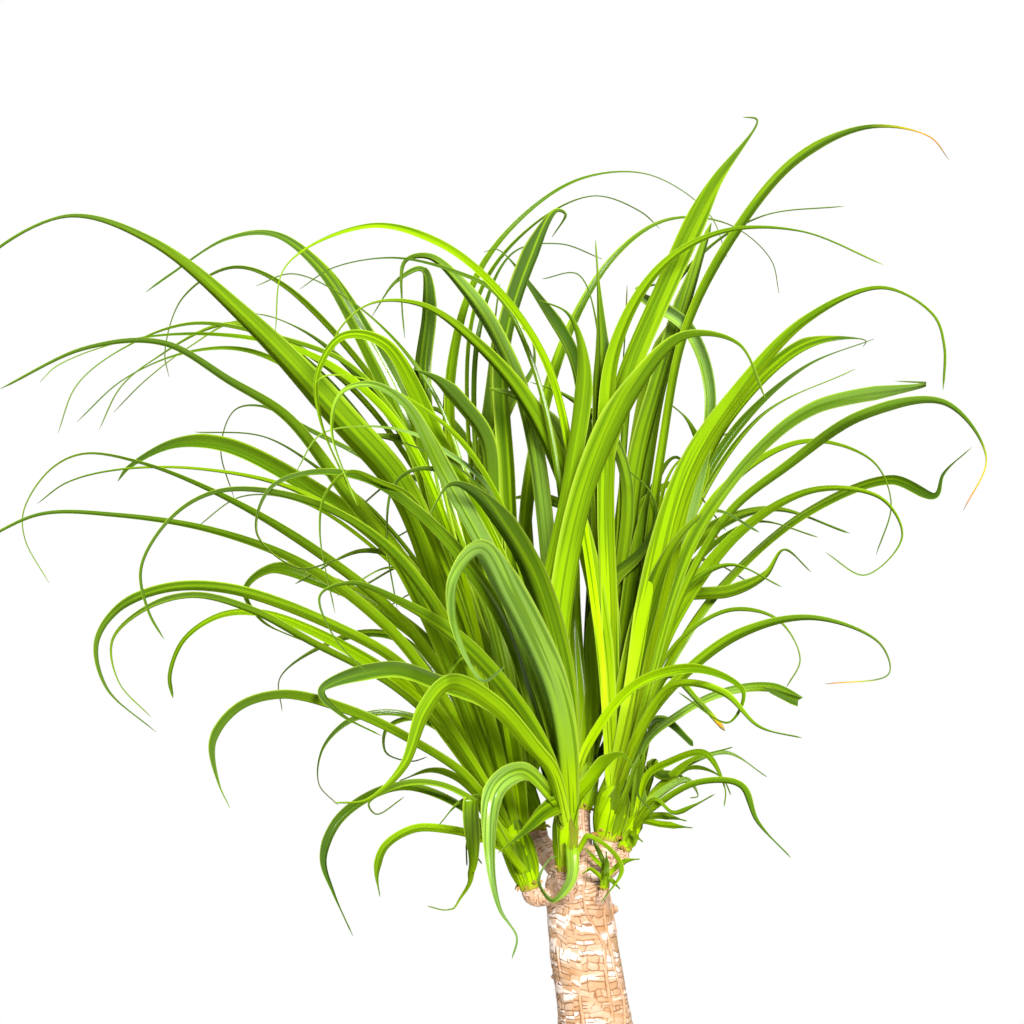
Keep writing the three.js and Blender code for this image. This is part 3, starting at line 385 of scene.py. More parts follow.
# %% Traced leaves
# Widest part in mm, how far the tip lies behind (+) or before (-) the heart in mm, midline from above the
# heart to the tip as photograph x and y in pixels, and, where they aren't the usual ones, the share of its
# width left at a blunt tip, and the shares of its length from which it fades and by which it opens.
TRACED_LEAVES = {
    "left_crown": [
        [20, -25, [473, 726, 443, 610, 400, 492, 340, 420, 249, 323, 153, 243, 71, 216, 0, 247, -22, 272], 0,
            0.55],
        [14, -90, [470, 720, 440, 640, 402, 564, 348, 495, 287, 417, 230, 381, 163, 343, 86, 348, 0, 389],
            0.12, 0.35],
        [6.5, 50, [450, 540, 400, 430, 340, 372, 282, 345, 201, 334, 125, 341, 57, 366, 40, 382], 0, 0.6],
        [4.5, 20, [460, 590, 400, 470, 330, 395, 249, 351, 185, 353, 123, 380, 77, 422]],
        [9, -50, [480, 760, 430, 680, 385, 625, 302, 564, 211, 530, 116, 515, 41, 514, -18, 540], 0.2, 0.4],
        [6.5, 0, [470, 720, 400, 620, 318, 553, 226, 498, 141, 463, 83, 454, 50, 470, 24, 510, 25, 539, 49,
            583], 0.1, 0.5],
        [8.5, 45, [475, 700, 430, 610, 380, 545, 295, 490, 199, 469, 116, 470, 66, 483, 37, 504], 0.1, 0.3],
        [10.5, 80, [485, 720, 440, 620, 390, 550, 302, 484, 224, 446, 174, 445, 129, 468, 118, 481],
         0.3, 0.85],
        [3, 100, [450, 620, 380, 520, 322, 472, 264, 437, 194, 432]],
        [11, -130, [480, 700, 430, 600, 379, 541, 310, 502, 232, 490, 191, 503, 158, 534, 141, 571, 149, 612,
            164, 639], 0.15, 0.3],
        [3, 120, [430, 610, 370, 545, 302, 502, 241, 497, 197, 527]],
        [6.5, -110, [470, 640, 410, 502, 379, 484, 348, 473, 325, 496, 320, 533, 335, 613], 0, 0.6],
        [8, -100, [500, 810, 450, 730, 400, 665, 330, 625, 232, 590, 166, 589, 119, 609, 97, 643, 107, 688,
            156, 732], 0, 0.76],
        [5, -40, [495, 810, 440, 730, 390, 685, 312, 643, 250, 610, 194, 596, 148, 608, 113, 640, 119, 682,
            151, 717], 0, 0.75],
        [11.5, 30, [480, 780, 430, 710, 390, 676, 312, 631, 259, 613, 219, 616, 184, 640, 170, 675, 173, 698],
            0.25, 0.3],
        [11, 90, [470, 700, 420, 640, 370, 605, 325, 584, 272, 570, 246, 590, 262, 620, 306, 642], 0, 0.74],
        [6.5, -130, [485, 800, 460, 772, 407, 739, 349, 712, 283, 696, 238, 709, 214, 742, 219, 783, 230,
            808], 0, 0.85],
        [6, -90, [500, 845, 458, 806, 405, 787, 369, 797, 337, 823, 324, 859, 334, 893, 353, 936], 0, 0.75],
        [6, -40, [505, 850, 484, 839, 450, 830, 414, 829, 385, 847, 377, 872, 380, 897], 0, 0.85],
        [7.5, -70, [505, 871, 490, 873, 473, 884, 450, 909, 427, 906], 0, 0.6, 0.4],
        [3.5, 50, [480, 790, 450, 740, 415, 719, 387, 729, 386, 752, 411, 761, 427, 757]],
        [4.5, 20, [480, 780, 440, 730, 391, 713, 349, 722, 323, 749, 319, 784, 338, 805]],
        [6.5, 90, [480, 800, 455, 778, 430, 771, 399, 781]],
        [4, -100, [485, 810, 440, 785, 400, 785, 369, 804, 376, 814, 404, 797]],
        [4, -50, [490, 800, 478, 797, 458, 804, 439, 825]],
        [3.5, -35, [490, 835, 473, 831, 467, 845, 467, 866]],
        [3.5, 15, [490, 842, 480, 841, 474, 850, 482, 864]],
    ],
    "front_crown": [
        [12, 70, [555, 640, 530, 420, 500, 340, 465, 288, 430, 257, 405, 262, 402, 302, 405, 339], 0, 0.75],
        [4, 40, [560, 500, 530, 360, 496, 294, 455, 272, 394, 258, 333, 268, 300, 289]],
        [11.5, -100, [545, 770, 513, 650, 485, 594, 436, 531, 371, 481, 310, 473, 269, 490, 257, 533, 299,
            568, 341, 558], 0, 0.45],
        [14, -60, [548, 740, 520, 620, 484, 535, 440, 450, 384, 345, 343, 337, 318, 374, 321, 421, 358, 506],
            0, 0.58],
        [13, -120, [550, 720, 500, 580, 445, 476, 404, 404, 369, 385, 341, 394, 332, 430, 357, 505], 0, 0.62],
        [6, -30, [552, 760, 540, 640, 510, 540, 476, 488, 420, 469, 394, 486, 387, 541, 397, 609], 0, 0.6],
        [10.5, -110, [551, 770, 534, 748, 491, 704, 440, 683, 391, 669, 322, 691, 341, 714, 382, 736],
         0, 0.72],
        [12, -170, [551, 772, 534, 750, 495, 706, 450, 684, 425, 712, 405, 765, 369, 799, 333, 803], 0, 0.68],
        [13.5, -90, [552, 800, 522, 773, 495, 793, 491, 863, 500, 909, 517, 938, 512, 959], 0, 0.48, 0.4],
        [10, -150, [555, 775, 534, 730, 495, 676, 449, 631, 399, 601, 350, 583, 320, 596, 333, 635, 371, 677],
            0, 0.45],
        [11.5, -15, [558, 720, 546, 640, 545, 601, 569, 482, 583, 360, 568, 314, 539, 300], 0, 0.8, 0.5],
        [21, -45, [564, 720, 561, 650, 574, 545, 595, 468, 635, 388, 684, 337, 738, 344, 765, 398], 0, 0.64],
        [23, -160, [562, 740, 548, 680, 506, 592, 478, 551, 455, 580, 455, 624, 482, 680, 504, 667], 0, 0.55,
            0.35],
        [19, -105, [563, 720, 553, 650, 527, 566, 478, 496, 450, 485, 429, 516], 0, 0.75],
        [6.5, -100, [575, 785, 590, 742, 636, 685, 698, 669, 743, 692, 729, 722, 678, 692], 0, 0.6],
        [3.5, -15, [573, 860, 588, 842, 611, 850, 621, 870, 601, 903]],
        [9, -28, [569, 853, 569, 887, 553, 900, 539, 881, 550, 859, 557, 856]],
        [12, -60, [560, 806, 545, 812, 528, 828, 512, 842, 498, 853], 0, 0.4, 0.3],
        [10, -30, [576, 800, 590, 782, 606, 762, 622, 755, 634, 768], 0, 0.7],
        [3.5, -75, [545, 620, 500, 502, 460, 440, 414, 402, 365, 379, 325, 376, 315, 383]],
        [3.5, -60, [540, 640, 492, 490, 440, 447, 410, 432, 362, 426, 320, 435, 296, 472]],
        [3, -45, [545, 640, 505, 520, 478, 486, 450, 462, 400, 441]],
    ],
    "right_crown": [
        [6, -60, [600, 650, 575, 480, 545, 360, 490, 282, 435, 241, 369, 226, 286, 266, 275, 334], 0, 0.75],
        [15.5, 10, [605, 650, 598, 480, 622, 382, 662, 289, 712, 186, 757, 120, 743, 117], 0, 0.82, 0.5],
        [9.5, 40, [650, 640, 690, 520, 709, 390, 685, 325, 637, 291, 669, 282], 0, 0.9, 0.85],
        [14, 0, [607, 640, 600, 500, 601, 350, 596, 240], 0, 0.75, 0.6],
        [12, -40, [610, 620, 607, 480, 615, 350, 660, 268, 721, 232, 800, 231, 884, 265], 0, 0.5],
        [13, -20, [605, 640, 580, 520, 534, 411, 478, 344, 422, 305, 370, 304, 338, 332, 334, 352], 0, 0.6],
        [14, 10, [612, 640, 590, 500, 555, 433, 520, 400, 489, 389], 0.2, 0.85, 0.5],
        [7, 60, [640, 600, 660, 450, 685, 332, 739, 229, 800, 158, 870, 127, 930, 137, 949, 160], 0, 0.82],
        [23, -60, [640, 680, 655, 600, 690, 470, 738, 394, 805, 321, 882, 288, 933, 315, 944, 346, 943, 390],
            0, 0.32],
        [10, 70, [650, 640, 690, 500, 729, 419, 805, 346, 866, 341, 863, 347], 0, 0.88, 0.5],
        [9.5, -140, [645, 700, 675, 590, 700, 528, 757, 451, 815, 407, 926, 384, 895, 381], 0, 0.86, 0.8],
        [7, -90, [650, 700, 680, 600, 729, 514, 786, 467, 863, 415, 945, 403, 986, 457, 963, 511], 0, 0.74,
            0.65],
        [8.5, 25, [645, 690, 680, 570, 729, 486, 805, 442, 872, 461, 891, 503, 876, 555], 0, 0.5],
        [9.5, -10, [645, 700, 673, 623, 738, 534, 815, 490, 882, 499, 902, 537, 865, 575, 825, 552], 0, 0.45],
        [7, 110, [645, 720, 670, 663, 723, 585, 805, 513, 891, 479, 935, 495, 943, 474, 972, 447], 0, 0.86],
        [7, -130, [640, 731, 673, 686, 740, 634, 814, 618, 880, 644, 889, 673, 825, 684]],
        [5, -150, [640, 730, 673, 686, 723, 693, 758, 726, 802, 738]],
        [9, 60, [640, 680, 671, 603, 733, 591, 766, 575, 784, 550, 811, 572], 0, 0.75, 0.4],
        [3, 30, [645, 700, 680, 640, 731, 610, 778, 620, 800, 659, 786, 688]],
        [6.5, -50, [640, 740, 668, 676, 698, 702, 725, 731], 0.5],
        [7, 60, [660, 620, 695, 500, 704, 465, 688, 421, 668, 402], 0, 0.85, 0.7],
        [3, 90, [650, 560, 672, 470, 705, 445, 735, 430]],
        [3.5, -30, [622, 815, 636, 798, 650, 809, 652, 820]],
    ],
    "back_left_crown": [
        [20, 60, [490, 690, 455, 560, 420, 450, 363, 333, 322, 270, 275, 235, 227, 239, 170, 275, 146, 292],
            0, 0.58],
        [5.5, 130, [480, 620, 430, 480, 380, 385, 282, 284, 231, 268, 182, 299, 165, 352, 169, 377]],
        [3.5, 50, [470, 560, 400, 420, 350, 365, 275, 337, 191, 324, 124, 348, 77, 385, 58, 433]],
        [4.5, 150, [460, 560, 380, 420, 310, 355, 228, 324, 153, 360, 120, 388, 99, 430]],
        [3.5, 190, [455, 580, 370, 430, 300, 355, 240, 322, 191, 346, 146, 380, 114, 412]],
        [3, 30, [450, 430, 404, 351, 343, 296, 292, 274, 256, 286]],
        [12, 20, [500, 700, 450, 560, 425, 450, 420, 374, 427, 307, 422, 270, 396, 282, 372, 316], 0, 0.83],
        [3.5, 110, [450, 560, 380, 470, 310, 430, 260, 406, 234, 411, 221, 449, 234, 498]],
        [5.5, 140, [470, 740, 432, 673, 399, 640, 350, 637, 280, 678, 282, 711]],
        [7.5, 60, [490, 650, 455, 480, 452, 370, 480, 271, 534, 207, 587, 177, 650, 175, 709, 214, 727, 257],
            0, 0.5],
        [3.5, 100, [500, 650, 470, 450, 480, 296, 534, 225, 594, 196, 641, 212, 660, 229]],
        [12.5, 0, [520, 640, 510, 480, 505, 350, 530, 261, 557, 211, 565, 214, 552, 237], 0, 0.87, 0.5],
        [8, 120, [510, 700, 522, 560, 535, 450, 567, 337, 614, 257, 667, 220, 730, 225, 771, 260, 779, 293],
            0, 0.55],
        [11, -10, [500, 600, 492, 500, 486, 440, 464, 407, 436, 379, 408, 367], 0, 0.9, 0.8],
        [9, 30, [480, 560, 484, 470, 503, 411, 533, 365, 531, 338, 520, 326], 0, 0.8, 0.6],
        [3.5, 80, [480, 500, 480, 330, 512, 254, 560, 244, 602, 259]],
        [9, 60, [480, 620, 430, 480, 395, 420, 350, 368, 310, 335, 275, 318, 253, 313], 0, 0.7, 0.5],
        [9, 40, [500, 640, 485, 540, 465, 485, 440, 455, 400, 440, 365, 434, 343, 430], 0, 0.85, 0.6],
        [13, 60, [505, 690, 490, 580, 481, 480, 484, 400, 490, 330, 497, 283], 0, 0.7],
        [9, 30, [505, 700, 475, 570, 448, 470, 442, 400, 450, 350, 463, 318], 0, 0.7, 0.5],
        [10, 90, [545, 700, 528, 580, 524, 500, 533, 440, 540, 395], 0, 0.7, 0.5],
    ],
    "back_right_crown": [
        [9, 20, [605, 600, 590, 450, 576, 361, 541, 302, 498, 250, 484, 252], 0, 0.82, 0.5],
        [3, 60, [600, 480, 600, 350, 580, 276, 542, 279]],
        [13, 30, [615, 640, 635, 471, 662, 372, 694, 275, 711, 223], 0.3, 0.85, 0.5],
        [20, 90, [620, 640, 640, 500, 660, 380, 682, 323, 702, 261], 0.2, 0.82, 0.5],
        [4, 60, [620, 500, 640, 350, 694, 262, 760, 217, 845, 206]],
        [7.5, 130, [655, 640, 690, 510, 738, 428, 805, 367, 874, 339], 0, 0.7],
        [4, 190, [655, 650, 685, 530, 757, 419, 855, 369]],
        [9, 10, [615, 600, 625, 480, 603, 427, 564, 395, 530, 382], 0, 0.8, 0.6],
        [11, -20, [592, 700, 594, 620, 615, 580, 645, 552, 657, 520, 650, 492, 628, 470], 0, 0.6, 0.4],
        [9, 60, [585, 640, 588, 560, 575, 515, 550, 501, 528, 497, 509, 499], 0.2, 0.85, 0.6],
        [6, 10, [618, 560, 622, 450, 622, 380, 625, 330, 627, 285], 0, 0.5],
    ],
    "side_shoot": [
        [7.5, -25, [640, 754, 681, 714, 723, 692, 773, 687, 799, 701, 763, 687], 0.5, 0.9, 0.85],
        [8, 10, [640, 760, 650, 726, 663, 721, 693, 746], 0.6],
        [7, 30, [655, 796, 690, 761, 733, 747]],
        [5, -45, [648, 775, 667, 763, 705, 754, 725, 789, 724, 807]],
        [3, 50, [655, 790, 692, 763, 727, 753, 767, 777]],
        [4.5, -70, [653, 809, 698, 783, 741, 786, 757, 821, 791, 858]],
        [3.5, 70, [660, 795, 690, 768, 722, 778, 731, 795]],
        [3.5, -50, [655, 800, 673, 813, 693, 806, 715, 794]],
        [4.5, -10, [660, 795, 687, 781, 698, 796, 690, 798]],
        [4.5, -30, [645, 818, 663, 816, 687, 821]],
        [4.5, 20, [640, 822, 660, 825, 693, 828]],
        [3, -15, [630, 833, 643, 842]],
        [7, 0, [640, 812, 640, 790, 640, 768], 0.6],
    ],
    "basal_sprout": [
        [3, -6, [605, 870, 595, 860, 584, 848]],
        [3, -2, [605, 868, 597, 848, 590, 834]],
        [3.5, -8, [606, 872, 606, 851]],
        [3.5, -10, [608, 876, 628, 861, 640, 859]],
        [3, -12, [602, 879, 588, 871, 582, 874]],
        [3, -10, [610, 880, 620, 889]],
    ],
}
print("traced leaves:", sum(len(rows) for rows in TRACED_LEAVES.values()))

# %% [markdown]
# ## Midlines
# A traced midline gives only what the camera saw, left to right and up and down. The depth has to come from
# how such a leaf grows: an arching strap stays about in one upright plane, so it moves back or forward in
# step with its way sideways. The filler leaves leave the heart at an azimuth, rise, and droop over at the
# end.

# %% Midlines
DEPTH_SPREAD = 1.3
EARLY_SHARE = 0.3
GOLDEN_SHARE = 0.618
# Leaves leave the heart in tiers. These are shares of its height: the lowest tier, the room for all tiers,
# how far a root lies below the first traced point at least, and the lowest and highest root.
LOWEST_TIER, TIERS_HIGH, ROOT_BELOW = 0.35, 0.5, 0.25
LOWEST_ROOT, HIGHEST_ROOT = 0.12, 0.85
# Filler leaves, least and what a draw adds: shares of the heart's height, of the reach and of the rise.
FILLER_ROOT, FILLER_REACH, FILLER_RISE, FILLER_DROOP = (0.3, 0.5), (0.65, 0.5), (0.55, 0.6), (0.9, 0.5)
FILLER_STEPS = (0, 0.2, 0.4, 0.6, 0.8, 1)
DRAW_FACTOR, DRAW_STEP, DRAW_SPAN = 1664525, 1013904223, 4294967296


def draws_from(seed):
    """A repeatable row of numbers from 0 to 1."""
    state = seed
    while True:
        state = (state * DRAW_FACTOR + DRAW_STEP) % DRAW_SPAN
        yield state / DRAW_SPAN


def drawn(draws, least, more):
    """A number that is least or up to more above it."""
    return least + more * next(draws)


def traced_line(head, route, reach, order):
    base = np.array(head["base"][:2], float)
    heart = np.array(head["top"][:2], float) - base
    pixels = np.array(route, float).reshape(-1, 2)
    level = (pixels[0] - base) @ heart / (heart @ heart)
    tier = LOWEST_TIER + TIERS_HIGH * (order * GOLDEN_SHARE % 1)
    share = min(max(min(level - ROOT_BELOW, tier), LOWEST_ROOT), HIGHEST_ROOT)
    flat = np.vstack([base + heart * share, pixels])
    moves = np.diff(flat, axis=0)
    steps = np.concatenate([[0], np.cumsum(np.hypot(moves[:, 0], moves[:, 1]))])
    sideways = np.concatenate([[0], np.cumsum(abs(moves[:, 0]))])
    early = 1 - (1 - steps / steps[-1]) ** 4
    out = EARLY_SHARE * early + (1 - EARLY_SHARE) * sideways / sideways[-1]
    depth = head["base"][2] + (head["top"][2] - head["base"][2]) * share
    depths = depth + reach * DEPTH_SPREAD * out
    return np.array([from_photo(px, py, behind) for (px, py), behind in zip(flat, depths)])


def filler_line(head, order, draws):
    count, first, last, reach, rise = head["filler"]
    turn = math.radians(first + (last - first) * (order + 0.2 + 0.6 * next(draws)) / count)
    base, top = from_photo(*head["base"]), from_photo(*head["top"])
    root = base + (top - base) * drawn(draws, *FILLER_ROOT)
    away = reach * drawn(draws, *FILLER_REACH)
    height = rise * drawn(draws, *FILLER_RISE)
    droop = drawn(draws, *FILLER_DROOP)
    line = []
    for run in FILLER_STEPS:
        out = away * (0.35 * run + 0.65 * run * run)
        up = height * (2.1 * run - droop * run**3)
        line.append(root + np.array([math.cos(turn) * out, math.sin(turn) * out, up]))
    return np.array(line)


print("midline rules ready, first draws:", [round(next(draws_from(seed)), 2) for seed in (11, 23)])

# %% [markdown]
# ## Stations and width
# The solid of a leaf passes a few stations on its midline, closer together where it bends. The fine leaf
# passes the same stations and keeps the curve between them. A leaf's width follows one rule for the whole
# plant: it opens from the sheath, is widest along its lower half, and then tapers to a whip.

# %% Curves
OPEN_BY = 0.25
FADE = 0.5
TAPER = 1.5
OPEN_START = 0.7
OPEN_FALL = 0.4
NARROWEST = 0.1


def curve_through(points, count):
    """count + 1 points on a centripetal spline through the points."""
    ends = 2 * points[[0, -1]] - points[[1, -2]]
    padded = np.vstack([ends[:1], points, ends[1:]])
    places = np.arange(count + 1) / count * (len(points) - 1)
    at = np.minimum(places.astype(int), len(points) - 2)
    weight = (places - at)[:, None]
    p0, p1, p2, p3 = (padded[at + shift] for shift in range(4))
    pairs = ((p0, p1), (p1, p2), (p2, p3))
    d0, d1, d2 = (np.linalg.norm(b - a, axis=1, keepdims=True) ** 0.5 for a, b in pairs)
    start = ((p1 - p0) / d0 - (p2 - p0) / (d0 + d1) + (p2 - p1) / d1) * d1
    end = ((p2 - p1) / d1 - (p3 - p1) / (d1 + d2) + (p3 - p2) / d2) * d1
    return (
        p1 + start * weight + (3 * (p2 - p1) - 2 * start - end) * weight**2
        + (2 * (p1 - p2) + start + end) * weight**3
    )


def runs_along(line):
    """How far each point of a line is from its start, along it."""
    return np.concatenate([[0], np.cumsum(np.linalg.norm(np.diff(line, axis=0), axis=1))])


def read_between(targets, places, line):
    """Points of a line at targets, where places say how far along its own points are."""
    return np.array([np.interp(targets, places, line[:, axis]) for axis in range(3)]).T


def bend_weights(line, length_weight):
    """How much of a line's bending and length lies before each of its points."""
    steps = np.diff(line, axis=0)
    lengths = np.linalg.norm(steps, axis=1)
    cosines = (steps[:-1] * steps[1:]).sum(1) / (lengths[:-1] * lengths[1:])
    turns = np.append(np.arccos(np.clip(cosines, -1, 1)), 0)
    return np.concatenate([[0], np.cumsum(turns + lengths * length_weight)]), turns.sum()


def leaf_outline(run, blunt, fade, open_by):
    """Half width along a leaf as a share of its widest. It has opened at open_by and fades from fade on."""
    start = OPEN_START - OPEN_FALL * open_by
    opening = start + (1 - start) * np.minimum(1, run / open_by)
    taper = blunt + (1 - blunt) * (1 - np.maximum(0, (run - fade) / (1 - fade))) ** TAPER
    return np.maximum(opening * taper, NARROWEST)


print("usual half widths along a leaf:", leaf_outline(np.linspace(0, 1, 5), 0, FADE, OPEN_BY).round(2))

# %% Stations
# Widest leaf and the length of a short one, in mm, and the most stations for a long leaf and a short one.
WIDEST = 24
SHORT_LEAF = 130
MOST_STATIONS, MOST_ON_SHORT, FEWEST_STATIONS = 9, 5, 3
STATIONS_AT_LEAST = 2.3
STATIONS_PER_BEND = 1.18
LENGTH_WEIGHT = 0.0045
# A leaf less wide than SLIM keeps its width for longer.
SLIM = 7
SLIM_FADE = 0.7
STATION_STEPS = 80
LENGTH_STEPS = 200
# Least, and what a draw adds: turn of a leaf about its midline in radians, and width of a filler in mm.
LEAF_TURN = (0.3, 0.55)
FILLER_WIDE = (9, 7)


class Leaf:
    """One leaf: its head, width, turn about its midline, the stations that it passes, and its outline."""

    def __init__(self, head_name, wide, turn, line, blunt=0, fade=None, open_by=OPEN_BY):
        self.head_name, self.turn, self.line = head_name, turn, line
        self.form = (blunt, fade or (SLIM_FADE if wide < SLIM else FADE), open_by)
        self.widest = min(wide / math.cos(turn), WIDEST)
        fine = curve_through(line, STATION_STEPS)
        weights, bend = bend_weights(fine, LENGTH_WEIGHT)
        length = runs_along(curve_through(line, LENGTH_STEPS))[-1]
        most = MOST_STATIONS if length > SHORT_LEAF else MOST_ON_SHORT
        wanted = math.floor(STATIONS_AT_LEAST + bend * STATIONS_PER_BEND + 0.5)
        count = min(max(wanted, FEWEST_STATIONS), most)
        targets = weights[-1] * np.arange(count + 1) / count
        self.stations = read_between(targets, weights, fine)
        self.at_start = self.stations.copy()
        self.places = weights / weights[-1] * count
        self.runs = runs_along(self.stations)
        self.halves = self.widest / 2 * leaf_outline(self.runs / self.runs[-1], *self.form)


def leaf_turn(draws):
    """How far a leaf is turned about its midline, in radians, to either side."""
    turn = drawn(draws, *LEAF_TURN)
    return -turn if next(draws) < 0.5 else turn


leaves = []
for head_name, head in HEADS.items():
    draws = draws_from(head["seed"])
    for order, (wide, reach, route, *form) in enumerate(TRACED_LEAVES[head_name]):
        turn = leaf_turn(draws)
        leaves.append(Leaf(head_name, wide, turn, traced_line(head, route, reach, order), *form))
    for order in range(head["filler"][0]):
        line = filler_line(head, order, draws)
        wide = drawn(draws, *FILLER_WIDE)
        leaves.append(Leaf(head_name, wide, leaf_turn(draws), line))
print("leaves:", len(leaves), "with", sum(len(leaf.stations) for leaf in leaves), "stations")

# %% [markdown]
# ## Which way a blade faces
# A strap bends easily over its flat side and hardly on its edge, and its channel opens on the upper side,
# which is the outside of the bend. So the direction across each leaf starts square to the view, is turned a
# little by the leaf's own turn, and then gives way wherever the midline bends.

# %% Sides of a leaf
# A blade that points at the viewer gets its flat side from the picture's width.
END_ON = 0.2
# How much a blade bends on its edge at most, as its half width over the radius of the bend.
EDGEWISE_BEND = 0.35
EASING_ROUNDS, EASING = 3, 0.5


def row_dots(first, second):
    return (first * second).sum(1)


def set_sides(leaf):
    stations = leaf.stations
    last = len(stations) - 1
    inner = np.arange(last + 1)
    tangents = normalised(stations[np.minimum(inner + 1, last)] - stations[np.maximum(inner - 1, 0)])
    flat = np.cross(tangents, (0, 1, 0))
    flat[np.linalg.norm(flat, axis=1) < END_ON, 0] += END_ON
    flat = normalised(flat)
    sides = flat * math.cos(leaf.turn) + np.cross(tangents, flat) * math.sin(leaf.turn)
    bends = np.zeros_like(stations)
    steps = np.diff(stations, axis=0)
    lengths = np.linalg.norm(steps, axis=1)
    ways = steps / lengths[:, None]
    bends[1:-1] = (ways[1:] - ways[:-1]) / ((lengths[:-1] + lengths[1:]) / 2)[:, None]
    bend = np.linalg.norm(bends, axis=1)
    way = bends / np.maximum(bend, 1e-9)[:, None]
    share = np.clip(EDGEWISE_BEND / np.maximum(bend * np.maximum(leaf.halves, 1), 1e-9), 0, 1)
    for _ in range(EASING_ROUNDS):
        eased = sides.copy()
        agree = np.where(row_dots(sides[1:], sides[:-1]) < 0, -1, 1)[:, None]
        eased[1:] += EASING * agree * sides[:-1]
        eased[:-1] += EASING * agree * sides[1:]
        edgewise = row_dots(eased, way)
        allowed = share * np.linalg.norm(eased, axis=1)
        over = (bend > 1e-6) & (abs(edgewise) > allowed)
        eased += way * np.where(over, np.sign(edgewise) * allowed - edgewise, 0)[:, None]
        sides = normalised(eased - tangents * row_dots(eased, tangents)[:, None])
        for at in range(1, last + 1):
            if sides[at] @ sides[at - 1] < 0:
                sides[at] = -sides[at]
    if row_dots(np.cross(sides, tangents), bends)[1:-1].sum() > 0:
        sides = -sides
    leaf.sides = sides
    leaf.normals = np.cross(sides, tangents)


for leaf in leaves:
    set_sides(leaf)
print("sides set for", len(leaves), "leaves")

# %% [markdown]
# ## Bending leaves clear
# Traced leaves know nothing of each other, and where two cross in the photograph their depths are only
# guessed. On the plant leaves lie over one another and never pass through. So every leaf is cut into
# straight pieces, and pieces that are too near push each other apart, mostly in depth, a little at a time.
# The same pushes in the same order were used for the solids, so the fine leaves lie where the solids do.

# %% Straight pieces
# Up to this run from their roots, in mm, leaves of one head may lie against each other.
ROOT_ROOM = 70
# The middle line of the stem: height, and shift to the right in mm. Leaves keep off STEM_PIECE of it.
STEM_RADIUS = 25
STEM_PIECE = (400, 536)
STEM_LINE = ((92, 0), (200, 0), (300, -7), (430, -17.5), (524, -29.4), (555, -25))


def stem_at(level):
    """Centre of the stem at a height."""
    heights, shifts = zip(*STEM_LINE)
    return np.array([np.interp(level, heights, shifts), 0, level])


def list_pieces():
    """Rows of start, end, owner, head, run and half room: leaf pieces, then hearts, forks and stem."""
    rows = []
    first = 0
    for owner, leaf in enumerate(leaves):
        for at in range(len(leaf.stations) - 1):
            rows.append((first + at, first + at + 1, owner, leaf.head_name, leaf.runs[at], leaf.halves[at]))
        first += len(leaf.stations)
    fixed = []
    for head_name, head in HEADS.items():
        base = from_photo(*head["base"])
        fixed.append((base, from_photo(*head["top"]), head_name, head["swell"]))
        fixed.append((from_photo(*head["stub"]), base, "trunk", head["wood"]))
    fixed.append((*map(stem_at, STEM_PIECE), "trunk", STEM_RADIUS))
    for *_, head_name, radius in fixed:
        rows.append((first, first + 1, -1, head_name, 0, radius))
        first += 2
    points = np.array([point for start, end, *_ in fixed for point in (start, end)])
    return rows, points


def pairs_to_watch(owners, heads, runs, fixed):
    """Pairs of pieces that have to stay clear: of two leaves, and not where both leave one heart."""
    one, two = np.triu_indices(len(owners), 1)
    same = heads[one] == heads[two]
    skip = owners[one] == owners[two]
    skip |= same & (fixed[one] | fixed[two])
    skip |= same & (np.minimum(runs[one], runs[two]) < ROOT_ROOM)
    return one[~skip], two[~skip]


def closest_places(start_one, along_one, start_two, along_two):
    """Where pairs of pieces are closest, as shares along both, the way between them, and how far it is."""
    between = start_one - start_two
    a, b, c = row_dots(along_one, along_one), row_dots(along_one, along_two), row_dots(along_two, along_two)
    d, e = row_dots(along_one, between), row_dots(along_two, between)
    spread = a * c - b * b
    crossing = spread > 1e-9
    on_one = np.where(crossing, np.clip((b * e - c * d) / np.where(crossing, spread, 1), 0, 1), 0.5)
    on_two = np.clip((b * on_one + e) / c, 0, 1)
    on_one = np.clip((b * on_two - d) / a, 0, 1)
    way = along_two * on_two[:, None] - along_one * on_one[:, None] - between
    distance = np.linalg.norm(way, axis=1)
    way = np.where(distance[:, None] < 1e-6, (0, 1, 0), way / np.maximum(distance, 1e-9)[:, None])
    return on_one, on_two, way, distance


rows, fixed_points = list_pieces()
print(f"{len(rows)} straight pieces, the last {len(fixed_points) // 2} of them wood and hearts")

# %% Bend clear
# Thickness of a leaf in mm, and what it gains with its width. Then the room to leave, the longest push and
# the room that a search for neighbours adds, in mm.
RIB_THICK, CHANNEL = 1.3, 0.11
CLEARANCE = 1.6
LONGEST_PUSH = 4
SEARCH_ROOM = 12
ROUNDS = 90
ROUNDS_BETWEEN_SEARCHES = 8
# A push goes mostly in depth. Two leaves share it, and wood and hearts don't give way.
SIDEWAYS_PUSH = 0.35
LEAST_DEPTH_PUSH = 0.25
PUSH_FROM_LEAF, PUSH_FROM_WOOD = 0.5, 0.9
LEAST_PART = 0.3
CROWDING = 0.6
# A leaf is stiff up to the first run from its root and gives way fully from the second, in mm.
STIFF_ROOT = (8, 60)
OWN_MOVE, MOVE_BESIDE = 0.6, 0.2


def push_apart(way, shares):
    """Pushes of a share of the way each, mostly in depth."""
    push = way * (SIDEWAYS_PUSH, 1, SIDEWAYS_PUSH)
    least = np.where(push[:, 1] < 0, -LEAST_DEPTH_PUSH, LEAST_DEPTH_PUSH)
    push[:, 1] = np.where(abs(push[:, 1]) < LEAST_DEPTH_PUSH, least, push[:, 1])
    return normalised(push) * shares[:, None]


